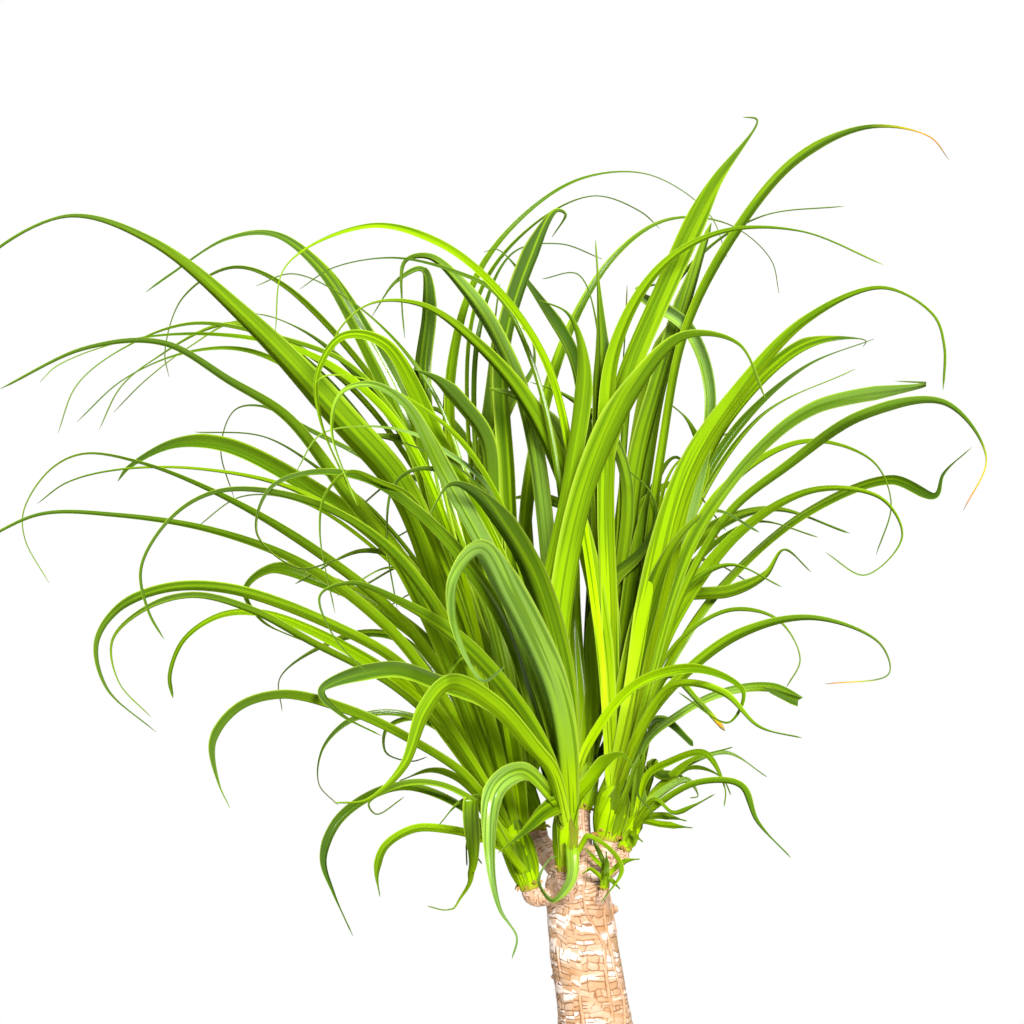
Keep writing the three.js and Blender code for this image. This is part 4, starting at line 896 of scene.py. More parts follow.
def move_leaves(moves):
    """Each station moves, hardly near the root of its leaf, and in part with the stations beside it."""
    first = 0
    for leaf in leaves:
        own = moves[first:first + len(leaf.stations)]
        first += len(leaf.stations)
        freedom = np.clip((leaf.runs - STIFF_ROOT[0]) / (STIFF_ROOT[1] - STIFF_ROOT[0]), 0, 1)
        before = np.vstack([own[:1], own[:-1]])
        after = np.vstack([own[1:], own[-1:]])
        moved = OWN_MOVE * own + MOVE_BESIDE * before + MOVE_BESIDE * after
        leaf.stations += smooth_step(freedom)[:, None] * moved
        set_sides(leaf)


def bend_clear():
    starts, ends, owners = (np.array([row[column] for row in rows]) for column in range(3))
    names = sorted({row[3] for row in rows})
    heads = np.array([names.index(row[3]) for row in rows])
    runs, rooms = (np.array([row[column] for row in rows]) for column in (4, 5))
    fixed = owners < 0
    watched = pairs_to_watch(owners, heads, runs, fixed)
    halves = np.concatenate([leaf.halves for leaf in leaves] + [np.ones(len(fixed_points))])
    thicks = (RIB_THICK + CHANNEL * 2 * halves) / 2
    padding = np.zeros((len(fixed_points), 3))
    for round_number in range(ROUNDS):
        points = np.vstack([leaf.stations for leaf in leaves] + [fixed_points])
        sides = np.vstack([leaf.sides for leaf in leaves] + [padding])
        normals = np.vstack([leaf.normals for leaf in leaves] + [padding])
        along = points[ends] - points[starts]
        if round_number % ROUNDS_BETWEEN_SEARCHES == 0:
            middles = (points[starts] + points[ends]) / 2
            reach = np.linalg.norm(along, axis=1) / 2 + rooms
            one, two = watched
            apart = np.linalg.norm(middles[one] - middles[two], axis=1)
            near = apart < reach[one] + reach[two] + SEARCH_ROOM
            one, two = one[near], two[near]
        first, second = points[starts[one]], points[starts[two]]
        on_one, on_two, way, distance = closest_places(first, along[one], second, along[two])

        def room_of(pieces, on):
            at = starts[pieces] + (on >= 0.5)
            own = np.hypot(row_dots(sides[at], way) * halves[at], row_dots(normals[at], way) * thicks[at])
            return np.where(fixed[pieces], rooms[pieces], own)

        short = room_of(one, on_one) + room_of(two, on_two) + CLEARANCE - distance
        share = np.where(fixed[one] | fixed[two], PUSH_FROM_WOOD, PUSH_FROM_LEAF)
        push = push_apart(way, short * share)
        moves = np.zeros_like(points)
        counts = np.zeros(len(points))
        for pieces, on, sign in ((one, on_one, -1), (two, on_two, 1)):
            moving = (short > 0) & ~fixed[pieces]
            for at, part in ((starts[pieces], 1 - on), (ends[pieces], on)):
                amount = push * (sign * np.maximum(part, LEAST_PART))[:, None]
                np.add.at(moves, at[moving], amount[moving])
                np.add.at(counts, at[moving], 1)
        moves /= np.maximum(1, counts * CROWDING)[:, None]
        lengths = np.linalg.norm(moves, axis=1, keepdims=True)
        moves *= np.minimum(1, LONGEST_PUSH / np.maximum(lengths, 1e-9))
        move_leaves(moves)


bend_clear()
shifts = np.concatenate([np.linalg.norm(leaf.stations - leaf.at_start, axis=1) for leaf in leaves])
print(f"stations moved to bend clear: {shifts.mean():.1f} mm on average, {shifts.max():.0f} mm at most")

# %% [markdown]
# ## One blade, modelled once
# Every leaf of the plant is the same kind of strap: a long thin blade, thickest along its middle, with a
# shallow channel on top. Each could be modelled for itself, but then every change would be made many times.
# So one flat blade is modelled with the usual tools, a grid and a Solidify modifier, and each leaf is a
# copy of it that is bent along its own midline.

# %% Blade template
BLADE_COLUMNS = 10
BLADE_ROWS = 72
BLADE_SMOOTHING = 50

deselect_all()
bpy.ops.mesh.primitive_grid_add(x_subdivisions=BLADE_COLUMNS, y_subdivisions=BLADE_ROWS, size=2)
template = bpy.context.object
template.name = "blade_template"
wall = template.modifiers.new("wall", "SOLIDIFY")
wall.thickness = 2
wall.offset = 0
bpy.ops.object.modifier_apply(modifier="wall")
bpy.ops.object.shade_smooth_by_angle(angle=math.radians(BLADE_SMOOTHING))
flat_blade = read_points(template)
blade_across = flat_blade[:, 0]
blade_row = np.rint((flat_blade[:, 1] + 1) / 2 * BLADE_ROWS).astype(int)
blade_face = np.sign(flat_blade[:, 2])
print("blade template:", len(flat_blade), "points")

# %% [markdown]
# ## Bending the blades
# A copy of the blade is laid along its midline row by row. Near the root the channel is deep, because the
# sheath clasps the heart, and it flattens towards the tip. A leaf is about a millimetre thick along its
# middle and a third of that at its edges. Slow waves in width and tilt keep any two leaves from looking
# alike.

# %% Eased rows and waves
FULL_TURN = 6.28
WAVES = 3


def ease_between(values, places):
    """Values at stations, joined smoothly and read at places between them."""
    last = len(values) - 1
    at = np.minimum(places.astype(int), last - 1)
    weight = (places - at)[:, None]
    padded = np.vstack([2 * values[:1] - values[1:2], values, 2 * values[-1:] - values[-2:-1]])
    p0, p1, p2, p3 = (padded[at + shift] for shift in range(4))
    return 0.5 * (
        2 * p1 + (p2 - p0) * weight + (2 * p0 - 5 * p1 + 4 * p2 - p3) * weight**2
        + (3 * p1 - p0 - 3 * p2 + p3) * weight**3
    )


def waves(run, draws, size):
    """A slow uneven wave along a leaf."""
    total = np.zeros_like(run)
    for number in range(1, WAVES + 1):
        total += np.sin(run * math.pi * number * (1 + next(draws)) + FULL_TURN * next(draws)) * size / number
    return total


print("waves along a blade:", WAVES)

# %% Bend the blades
FINE_STEPS = 240
ROW_LENGTH_WEIGHT = 0.012
# Least half width, and thickness along the middle at shares of the run, in mm. EDGE_THICK is the edge's
# share of it.
THINNEST = 0.55
THICKNESS = ((0, 1.5), (0.3, 1.0), (1, 0.5))
EDGE_THICK = 0.3
TIP_RUN = 0.02
TILT_WAVE = 0.12
WIDTH_WAVE = 0.05
# Depth of the channel as a share of the width, and its form from rib to edge: least, and what a draw adds.
FOLD, FOLD_CURVE = (0.15, 0.28), (0.95, 0.5)
# What the clasp of a root adds to that depth, and over which share of the run.
CLASP, CLASP_RUN = 0.16, 0.3
PLEATS, PLEAT = (1.5, 1.5), 0.045
EDGE_CURVE = 1.3
BLADE_SEED = 6000
SEED_STEP = 635
TONE_SHIFT = 977
# Least tone of the leaves of the back heads: a higher tone paints them darker green, as painted shade inside
# the plant.
BACK_PAINTED_SHADE = 0.62


def grow_blade(line, places, side_rows, widest, form, draws, name, dry=0.0, clasp=1.0, painted_shade=0.0):
    """A copy of the template bent along a line. side_rows are the directions across it at places on it."""
    weights, _ = bend_weights(line, ROW_LENGTH_WEIGHT)
    targets = weights[-1] * np.arange(BLADE_ROWS + 1) / BLADE_ROWS
    centre = read_between(targets, weights, line)
    row_places = np.interp(targets, weights, places)
    tangent = normalised(np.gradient(centre, axis=0))
    side = ease_between(side_rows, row_places)
    side = normalised(side - tangent * row_dots(side, tangent)[:, None])
    run = runs_along(centre)
    length = run[-1]
    run = run / length
    normal = np.cross(side, tangent)
    tilt = (waves(run, draws, TILT_WAVE) * np.clip(run * 6, 0, 1))[:, None]
    side, normal = side * np.cos(tilt) + normal * np.sin(tilt), normal * np.cos(tilt) - side * np.sin(tilt)
    half = widest / 2 * leaf_outline(run, *form) * (1 + waves(run, draws, WIDTH_WAVE))
    half = np.maximum(half, THINNEST) * np.sqrt(np.clip((1 - run) / TIP_RUN, TIP_RUN, 1))
    fold = drawn(draws, *FOLD)
    cup = 2 * half * (fold + CLASP * clasp * np.clip(1 - run / CLASP_RUN, 0, 1))
    thick = np.interp(run, *zip(*THICKNESS))

    row = blade_row
    across = abs(blade_across)
    lift = cup[row] * (across ** drawn(draws, *FOLD_CURVE) - 0.5)
    pleats = drawn(draws, *PLEATS)
    lift += PLEAT * half[row] * np.cos(math.pi * pleats * blade_across + FULL_TURN * next(draws))
    wall = thick[row] * (EDGE_THICK + (1 - EDGE_THICK) * (1 - across) ** EDGE_CURVE) / 2
    points = centre[row] + side[row] * (half[row] * blade_across)[:, None]
    points += normal[row] * (lift + wall * blade_face)[:, None]
    blade = template.copy()
    blade.data = template.data.copy()
    blade.name = name
    bpy.context.scene.collection.objects.link(blade)
    write_points(blade, points)
    # The least tone, raised for back leaves, paints them darker green as painted shade.
    tone = painted_shade + (1 - painted_shade) * next(draws)
    mark_points(blade, {
        "run": run[row], "edge": across, "across_mm": half[row] * blade_across + tone * TONE_SHIFT,
        "along_mm": run[row] * length, "tone": np.full(len(row), tone), "under": (1 - blade_face) / 2,
        "dry": np.full(len(row), dry),
    })
    return blade


def grow_leaf(leaf, number):
    line = curve_through(leaf.line, FINE_STEPS)
    coarse = np.linspace(0, 1, len(leaf.places))
    places = np.interp(np.linspace(0, 1, FINE_STEPS + 1), coarse, leaf.places)
    line = line + ease_between(leaf.stations - leaf.at_start, places)
    draws = draws_from(BLADE_SEED + SEED_STEP * number)
    # Leaves of the back heads get a higher tone, which paints them darker as painted shade.
    painted_shade = BACK_PAINTED_SHADE if leaf.head_name.startswith("back") else 0.0
    name = f"leaf_{number}"
    return grow_blade(line, places, leaf.sides, leaf.widest, leaf.form, draws, name, painted_shade=painted_shade)


blades = {head_name: [] for head_name in HEADS}
for number, leaf in enumerate(leaves):
    blades[leaf.head_name].append(grow_leaf(leaf, number))
print("blades bent:", sum(len(group) for group in blades.values()))

# %% [markdown]
# ## Hearts
# The heart of a head is the bulb of sheaths that all its leaves grow from. It could be a smooth egg, but
# the real one is ribbed by the edges of the sheaths that wrap it. So a tube is wrapped to the profile of
# the solid's heart and ribbed round. A few broad sheaths clasp it with their hollow side, tucked in at the
# foot, and dry scraps of older sheaths stick out below them.

# %% Heart
HEART_PROFILE = ((0, 1, 0), (0.22, 0.5, 0.5), (0.5, 0, 1), (0.8, 0, 0.92), (1, 0, 0.55))
HEART_RIBS = 7
RIB_RELIEF = 0.045
HEART_COLUMNS, HEART_ROWS = 56, 28


def frame_of(direction):
    """Two directions square to one."""
    across = normalised(np.cross(direction, (1, 0, 0)))
    return across, np.cross(direction, across)


def heart_of(head_name):
    """A head, the foot and top of its heart, the way it leans, and two directions square to that."""
    head = HEADS[head_name]
    base, top = from_photo(*head["base"]), from_photo(*head["top"])
    lean = normalised(top - base)
    return head, base, top, lean, *frame_of(lean)


def make_heart(head_name):
    head, base, top, _, across, over = heart_of(head_name)
    shares, from_base, from_swell = (np.array(column) for column in zip(*HEART_PROFILE))
    radii = from_base * head["radius"] + from_swell * head["swell"]

    def place(turn, run):
        angle = turn * 2 * math.pi
        radius = np.interp(run, shares, radii)
        rib = abs(np.sin(angle * HEART_RIBS / 2 + 3 * run))
        radius = radius * (1 - RIB_RELIEF + RIB_RELIEF * rib**0.5 * 1.6)
        ring = across * np.sin(angle)[:, None] + over * np.cos(angle)[:, None]
        points = base + (top - base) * run[:, None] + ring * radius[:, None]
        marks = {
            "run": 0.02 + run * 0.1, "edge": 1 - rib, "across_mm": angle * head["swell"],
            "along_mm": run * 60, "tone": np.full(len(turn), 0.6), "under": np.zeros(len(turn)),
            "dry": np.clip(1 - run * 9, 0, 1) * 0.6,
        }
        return points, marks

    return wrap_tube(f"{head_name}_heart", HEART_COLUMNS, HEART_ROWS, place)


hearts = {head_name: make_heart(head_name) for head_name in HEADS}
print("hearts wrapped:", len(hearts))

# %% Sheaths and scraps
SHEATHS, SHEATH_SEED = 3, 3000
SHEATH_FORM = (0, FADE, OPEN_BY)
# Stand of a sheath from the lean of its heart, along its run, as shares of the heart's radius.
SHEATH_STAND = ((0, 0.55), (0.12, 0.76), (0.35, 0.84), (0.65, 0.84), (1, 0.78))
SCRAPS, SCRAP_SEED = 9, 5000
SCRAP_FORM = (0.3, FADE, OPEN_BY)
# The scraps have their sizes on a heart of this radius, in mm.
USUAL_RADIUS = 8
# Least, and what a draw adds: rise and width of a sheath as shares of its heart, then for a scrap the
# height of its root, how far it stands out and rises, and its width, all in mm, and its dryness.
SHEATH_RISE, SHEATH_WIDE = (0.95, 0.6), (1.7, 0.3)
SCRAP_ROOT, SCRAP_OUT, SCRAP_RISE, SCRAP_WIDE, SCRAP_DRY = (1, 4), (2, 3), (-3, 6), (2.5, 3), (0.5, 0.5)


def strip(points, side, wide, form, draws, name, dry, clasp=1.0):
    """A blade through a few points that faces one way all along."""
    line = curve_through(np.array(points), FINE_STEPS)
    places = np.linspace(0, 1, FINE_STEPS + 1)
    return grow_blade(line, places, np.array([side, side]), wide, form, draws, name, dry, clasp)


def make_sheaths(head_name):
    """Broad sheaths that clasp a heart, each on its own side of it."""
    head, base, top, lean, across, over = heart_of(head_name)
    height = np.linalg.norm(top - base)
    draws = draws_from(SHEATH_SEED + head["seed"])
    made = []
    for order in range(SHEATHS):
        angle = 2 * math.pi * (order * GOLDEN_SHARE + 0.08 * next(draws))
        out = across * math.sin(angle) + over * math.cos(angle)
        rise = height * drawn(draws, *SHEATH_RISE)
        points = []
        for run, stand in SHEATH_STAND:
            radius = head["radius"] + (head["swell"] - head["radius"]) * math.sin(math.pi * min(run, 0.8))
            points.append(base + lean * rise * run + out * (radius * stand))
        wide = head["swell"] * drawn(draws, *SHEATH_WIDE)
        dry = 0.5 * max(0.0, next(draws) - 0.5)
        name = f"{head_name}_sheath_{order}"
        made.append(strip(points, np.cross(out, lean), wide, SHEATH_FORM, draws, name, dry, 0.0))
    return made


def make_scraps(head_name):
    """Torn dry ends of old sheaths that stick out round the foot of a heart."""
    head, base, _, lean, across, over = heart_of(head_name)
    draws = draws_from(SCRAP_SEED + head["seed"])
    size = head["radius"] / USUAL_RADIUS
    made = []
    for order in range(SCRAPS):
        angle = 2 * math.pi * (order + 0.7 * next(draws)) / SCRAPS
        out = across * math.sin(angle) + over * math.cos(angle)
        root = base + out * head["radius"] * 0.9 + lean * drawn(draws, *SCRAP_ROOT) * size
        tip = root + (out * drawn(draws, *SCRAP_OUT) + lean * drawn(draws, *SCRAP_RISE)) * size
        middle = (root + tip) / 2 + lean * 1.2 * size
        wide = drawn(draws, *SCRAP_WIDE) * size
        dry = drawn(draws, *SCRAP_DRY)
        name = f"{head_name}_scrap_{order}"
        side = np.cross(lean, out)
        made.append(strip([root, middle, tip], side, wide, SCRAP_FORM, draws, name, dry))
    return made


wraps = {head_name: make_sheaths(head_name) + make_scraps(head_name) for head_name in HEADS}
print("sheaths and scraps:", sum(len(group) for group in wraps.values()))

# %% Crowns
crowns = {}
for head_name, heart in hearts.items():
    crowns[head_name] = join(f"{head_name}_leaves", [heart, *wraps[head_name], *blades[head_name]])
bpy.data.objects.remove(template)
print("crowns joined:", ", ".join(crown.name for crown in crowns.values()))

# %% [markdown]
# ## Leaf finish
# A living leaf is bright yellow-green near the heart, where it is young, deepens to mid green along the
# blade, and turns bluish at the thin tip, which may dry to gold. Fine veins run its whole length. Light
# also passes through it, so the shaded side glows. A grey-green sheen is painted onto some leaves, and the
# leaves of the back heads are painted darker as painted shade. Colour could follow the place in space, but
# then a vein would not run along its leaf. So it is read from the marks that each blade carries, and a
# share of translucence is mixed in.

# %% Leaf finish
leaf_finish = Finish("leaf_green", Specular_IOR_Level=0.0, Coat_Roughness=0.2)
run, edge, tone, under, dry = (
    leaf_finish.attribute(name) for name in ("run", "edge", "tone", "under", "dry")
)
along_leaf = leaf_finish.node("ShaderNodeCombineXYZ", None, {
    "X": leaf_finish.attribute("across_mm"), "Y": leaf_finish.attribute("along_mm") * 0.012, "Z": tone * 31,
}).outputs["Vector"]
veins = leaf_finish.noise(along_leaf, 0.3, 1.0, 0.5)
fine_veins = leaf_finish.noise(along_leaf, 0.62, 0.0, 0.5)
cloud = leaf_finish.noise(leaf_finish.coordinates, 14, 2.0, 0.5)

# A higher tone paints a leaf darker: at random for age, and on the back heads as painted shade.
age = run + (tone - 0.4) * 0.4 + (cloud - 0.5) * 0.3
green = leaf_finish.ramp(age, [
    (0.0, (0.28, 0.41, 0.006)), (0.1, (0.21, 0.335, 0.001)), (0.26, (0.14, 0.245, 0.001)),
    (0.48, (0.080, 0.146, 0.001)), (0.8, (0.040, 0.078, 0.002)), (1.0, (0.028, 0.054, 0.008)),
])
# Painted sheen: a grey-green highlight painted in clouds on part of the lower half of some leaves.
painted_sheen = run.between(0.1, 0.35) * tone.between(0.44, 0.5) * (1 - tone.between(0.53, 0.58))
green = leaf_finish.layers(
    green,
    (painted_sheen * cloud.between(0.3, 0.55) * 0.5, (0.15, 0.25, 0.065)),
    (veins.between(0.52, 0.6) * 0.3, (0.20, 0.32, 0.001)),
    (fine_veins.between(0.58, 0.64) * 0.6, (0.02, 0.055, 0.001)),
    ((1 - edge.between(0.03, 0.1)) * 0.4, (0.03, 0.07, 0.001)),
    (edge.between(0.86, 0.98) * 0.5, (0.25, 0.33, 0.03)),
    (under * 0.25, (0.06, 0.11, 0.005)),
)
tip = leaf_finish.ramp(run, [
    (0.91, (0.30, 0.33, 0.004)), (0.96, (0.40, 0.16, 0.01)), (1.0, (0.10, 0.075, 0.06)),
])
drying = run.between(0.89, 0.95) * tone.between(0.80, 0.81) * (1 - tone.between(0.84, 0.85))
green = leaf_finish.blend(drying * 0.9, green, tip)
brown = leaf_finish.ramp(fine_veins, [(0.3, (0.14, 0.055, 0.015)), (0.7, (0.36, 0.2, 0.05))])
gloss = (1 - under) * run.between(0.12, 0.4) * (1 - run.between(0.5, 0.75)) * tone.between(0.3, 0.6)
leaf_finish.paint(
    Base_Color=leaf_finish.blend(dry, green, brown),
    Roughness=0.4 + veins * 0.16 + dry * 0.3,
    Coat_Weight=gloss * 0.45,
)

GLOW_SHARE = 0.05
glow = leaf_finish.node("ShaderNodeBsdfTranslucent", None, {"Color": rgb(0.24, 0.40, 0.001)})
both = {0: GLOW_SHARE, 1: leaf_finish.shader.outputs[0], 2: glow.outputs[0]}
mixed = leaf_finish.node("ShaderNodeMixShader", None, both)
leaf_finish.feed(leaf_finish.tree.nodes["Material Output"].inputs["Surface"], mixed.outputs[0])
for head_name, crown in crowns.items():
    mount(crown, head_name, leaf_finish)

# %% [markdown]
# ## Bark relief
# The bark is cork that splits as the stem swells. Level cracks ring it every few millimetres, where leaves
# once grew, short upright cracks cut the rings into plates, and cords of raised cork run up it and shift
# the rings from one side to the other. An image would show this, but a relief has to be seen from the side
# as well. So it is worked out for each point of a fine tube: how far the nearest crack and cord are, and
# how proud the plate stands.

# %% Cords of cork
STEM_PROFILE = (
    (92, 16), (100, 36), (124, 54), (160, 65), (190, 67), (214, 59), (240, 46.5), (272, 37.5),
    (320, 31), (372, 28), (430, 26), (478, 24.4), (524, 22.8), (538, 21.5), (549, 16), (555, 9),
)
CORD_PITCH = 14.3
CORD_HALF_WIDTH = 1.15
FRONT_CORD_FOOT = 430
# The cord that shows most, slanting over the front: height in mm, and share of a turn from the front.
FRONT_CORD = ((400, 0.07), (440, 0.085), (464, 0.080), (488, 0.090), (511, 0.023), (529, 0.021))
NOISE_ROWS = 250


def bump_at(away, width):
    """1 at a line or place, and almost 0 past a width from it."""
    return np.exp(-(away / width) ** 2)


def patchy(turn, level, cells, pitch, seed):
    """Smooth noise from -1 to 1 that closes round the stem: cells round it, and one every pitch up it."""
    values = np.random.default_rng(seed).uniform(-1, 1, (NOISE_ROWS + 1, cells))
    across = turn % 1 * cells
    up = level / pitch % NOISE_ROWS
    column, row = across.astype(int), up.astype(int)
    ease_x, ease_y = smooth_step(across - column), smooth_step(up - row)
    column = column % cells
    beside = (column + 1) % cells
    low = values[row, column] * (1 - ease_x) + values[row, beside] * ease_x
    high = values[row + 1, column] * (1 - ease_x) + values[row + 1, beside] * ease_x
    return low * (1 - ease_y) + high * ease_y


def cork_cords(turn, level, girth, seed, cords, front):
    """Raised cords, the cracks along them, and which gap between cords each place is in."""
    rise = np.zeros(len(turn))
    beside = np.zeros(len(turn))
    gap = np.zeros(len(turn), int)
    for number in range(cords):
        own = np.full(len(turn), number / cords)
        if number == 0 and front:
            place = np.interp(level, *zip(*front))
            shown = np.clip((level - FRONT_CORD_FOOT) / 10, 0, 1)
        else:
            place = (number + 0.6 + 0.3 * patchy(own, level, cords, 28, seed + 11)) / cords
            shown = np.clip(patchy(own, level, cords, 34, seed + 12) * 3 + 0.6, 0, 1)
        away = (turn - place + 0.5) % 1 - 0.5
        gap += (turn % 1 > place % 1).astype(int)
        away = abs(away) * girth
        rise = np.maximum(rise, np.clip(1 - (away / CORD_HALF_WIDTH) ** 2, 0, 1) ** 0.6 * shown)
        beside = np.maximum(beside, bump_at(away - CORD_HALF_WIDTH - 0.25, 0.38) * shown)
    return rise, beside, gap % cords


print(f"cords of cork: one every {CORD_PITCH} mm round the stem")

# %% Rings and plates
RINGS = 320
RING_PITCH = (2.6, 5.6)
RING_JUMP, RING_SLOPE = 6, 2.2
FEWEST_PLATES, MOST_PLATES = 5, 64
PLATE_WIDTH = 9.0
PLATE_CROWDING = (0.75, 1.25)
# Share of the places for an upright crack that have one.
PLATE_EDGES = 0.55
# A plate edge that isn't there, further off than any crack.
NO_EDGE = 9.0
# Noise that shifts the rings and the plates: cells round the stem, rise of a cell in mm, and own seed.
SLOW_WAVER, QUICK_WAVER, FINE_WAVER, PLATE_WAVER = (6, 17, 1), (22, 7, 2), (48, 3, 9), (23, 4, 3)


def find_rings(turn, level, gap, cords, random, fine, noise):
    """The ring that each place is in, how far its nearer crack is, and its height with the rings' shifts."""
    rings = np.cumsum(random.uniform(*RING_PITCH, RINGS) * fine)
    steps = random.uniform(0, RING_JUMP, cords) * fine
    slopes = random.uniform(-RING_SLOPE, RING_SLOPE, cords) * fine
    lifted = level + 20 + steps[gap] + slopes[gap] * ((turn * cords) % 1 - 0.5)
    lifted += (3.0 * noise(level, *SLOW_WAVER) + 1.3 * noise(level, *QUICK_WAVER)) * fine
    lifted += 0.5 * noise(level, *FINE_WAVER)
    ring = np.clip(np.searchsorted(rings, lifted), 1, RINGS - 1)
    return ring, np.minimum(lifted - rings[ring - 1], rings[ring] - lifted), lifted


def find_plates(turn, level, girth, ring, random, fine, noise):
    """How far the nearest upright crack of each place is, and the tone of its plate."""
    crowding = random.uniform(*PLATE_CROWDING, RINGS)
    counts = np.maximum(FEWEST_PLATES, np.rint(girth / (PLATE_WIDTH * fine) * crowding)).astype(int)
    shifts, kept, tones = random.uniform(0, 1, (3, RINGS, MOST_PLATES))
    count = counts[ring]
    place = (turn % 1) * count + 0.22 * noise(level, *PLATE_WAVER)
    cell = np.floor(place).astype(int)
    nearest = np.full(len(turn), NO_EDGE)
    plate = np.zeros(len(turn), int)
    for offset in (-1, 0, 1, 2):
        edge_cell = (cell + offset) % count
        edge_place = cell + offset + 0.7 * (shifts[ring, edge_cell] - 0.5)
        away = abs(place - edge_place) * girth / count
        nearest = np.minimum(nearest, np.where(kept[ring, edge_cell] < PLATE_EDGES, away, NO_EDGE))
        plate = np.where(place >= edge_place, edge_cell, plate)
    return nearest, tones[ring, plate]


print(f"rings of cork: {RING_PITCH[0]} to {RING_PITCH[1]} mm apart, in plates {PLATE_WIDTH} mm wide")

# %% Bark relief
CRACK_DEPTH = 0.7
CORD_RISE = 0.8
PLATE_RISE, FLAKE_RISE, ROUGHNESS = 0.5, 0.35, 0.16
UPRIGHT_HALF_WIDTH = 0.5
# Noise that opens the ring cracks, lifts flakes, tints plates and roughens them, given as above.
OPENING, FLAKING, TINT, GRAIN = (18, 4.4, 4), (8, 3.6, 6), (12, 12, 8), (60, 2.2, 7)
# Knobs of cork: share of a turn, height, radius and rise in mm.
KNOBS = ((0.25, 510.5, 3.2, 4.2), (0.75, 463, 1.8, 2.2))


def bark_relief(turn, level, girth, seed, fine=1.0, line=0.38, front=()):
    """Height of the bark in mm, and its marks for the finish. line is the half width of a crack in mm."""
    def noise(at, cells, pitch, own_seed):
        return patchy(turn, at, cells, pitch, seed + own_seed)

    random = np.random.default_rng(seed)
    cords = max(3, round(girth / CORD_PITCH))
    cord, beside, gap = cork_cords(turn, level, girth, seed, cords, front)
    ring, to_ring, lifted = find_rings(turn, level, gap, cords, random, fine, noise)
    ring_crack = bump_at(to_ring, line) * np.clip(noise(lifted, *OPENING) * 2 + 1.2, 0, 1)
    to_upright, plate_tone = find_plates(turn, level, girth, ring, random, fine, noise)
    crack = np.maximum(ring_crack, bump_at(to_upright, UPRIGHT_HALF_WIDTH) * 0.9) * (1 - cord)
    crack = np.maximum(crack, beside * 0.85)
    # Lifted flakes: they stand proud, and their near white in the finish is also painted highlight.
    flake = np.clip(noise(lifted, *FLAKING) * 3.6 - 0.8, 0, 1) * (1 - cord)
    tone = plate_tone * 0.55 + 0.45 * (noise(level, *TINT) * 0.5 + 0.5)
    height = PLATE_RISE * (tone - 0.5) + FLAKE_RISE * flake + ROUGHNESS * noise(level, *GRAIN)
    height = height - CRACK_DEPTH * crack + CORD_RISE * cord
    return height, {"crack": crack, "cord": cord, "flake": flake, "plate": tone}


print(f"bark relief: cracks {CRACK_DEPTH} mm deep, cords {CORD_RISE} mm high, {len(KNOBS)} knobs")

# %% [markdown]
# ## Trunk
# The trunk is one growth: a foot swollen with stored water, most of it under the soil, a stem that leans a
# little to the left, and a short fork for each head. The stem is a tube wrapped to the solid's profile. Its
# rows lie closest where the bark is seen best. The forks are smaller tubes, joined to a piece of their own,
# from inside the stem to just under each heart, so bark covers every join.

# %% Stem
STEM_COLUMNS = 208
STEM_ROWS = 466
ROW_SHARES = (0, 10 / STEM_ROWS, 206 / STEM_ROWS, 1)
ROW_LEVELS = (92, 190, 425, 555)
SOIL_TOP = 190
STEM_SEED = 5
# Half width of the ring cracks in mm at two heights.
CRACK_LINE = ((420, 0.9), (430, 0.4))
# Heights between which the profile is eased, and how far above and below a place it is read.
EASED_FROM, EASED_TO = 104, 536
EASE_AT = (-9, -5, 0, 5, 9)


def place_stem(turn, run):
    heights, radii = zip(*STEM_PROFILE)
    levels = np.interp(run, ROW_SHARES, ROW_LEVELS)
    angle = turn * 2 * math.pi
    radius = np.interp(levels, heights, radii)
    smooth = sum(np.interp(levels + shift, heights, radii) for shift in EASE_AT) / len(EASE_AT)
    inside = (levels > EASED_FROM) & (levels < EASED_TO)
    radius = np.where(inside, smooth, radius)
    girth = 2 * math.pi * STEM_RADIUS
    crack_line = np.interp(levels, *zip(*CRACK_LINE))
    relief, marks = bark_relief(turn, levels, girth, STEM_SEED, line=crack_line, front=FRONT_CORD)
    for knob_turn, knob_level, knob_radius, knob_rise in KNOBS:
        away = np.hypot(((turn - knob_turn + 0.5) % 1 - 0.5) * girth, levels - knob_level) / knob_radius
        knob = np.exp(-away ** 4)
        relief += knob * knob_rise
        marks["crack"] = np.maximum(marks["crack"], bump_at(away - 1.1, 0.25) * 0.7)
    above = np.clip((levels - SOIL_TOP + 6) / 10, 0, 1) * np.clip((ROW_LEVELS[-1] - levels) / 4, 0, 1)
    waist = 0.8 * np.sin(3 * angle + levels / 41) + 0.9 * patchy(turn, levels, 5, 30, 17)
    radius = radius + (relief + waist) * above
    shifts = np.interp(levels, *zip(*STEM_LINE))
    points = np.column_stack([shifts + np.sin(angle) * radius, -np.cos(angle) * radius, levels])
    marks["young"] = np.clip((levels - 505) / 50, 0, 1)
    return points, marks


stem = wrap_tube("trunk_bark", STEM_COLUMNS, STEM_ROWS, place_stem)
print("stem:", len(stem.data.vertices), "points")

# %% Forks
GAP = 0.3
FORK_SEED = 7
FORK_STEPS = 60
FORK_COLUMNS, FORK_ROWS_PER_MM, FEWEST_FORK_ROWS = 90, 1.6, 40


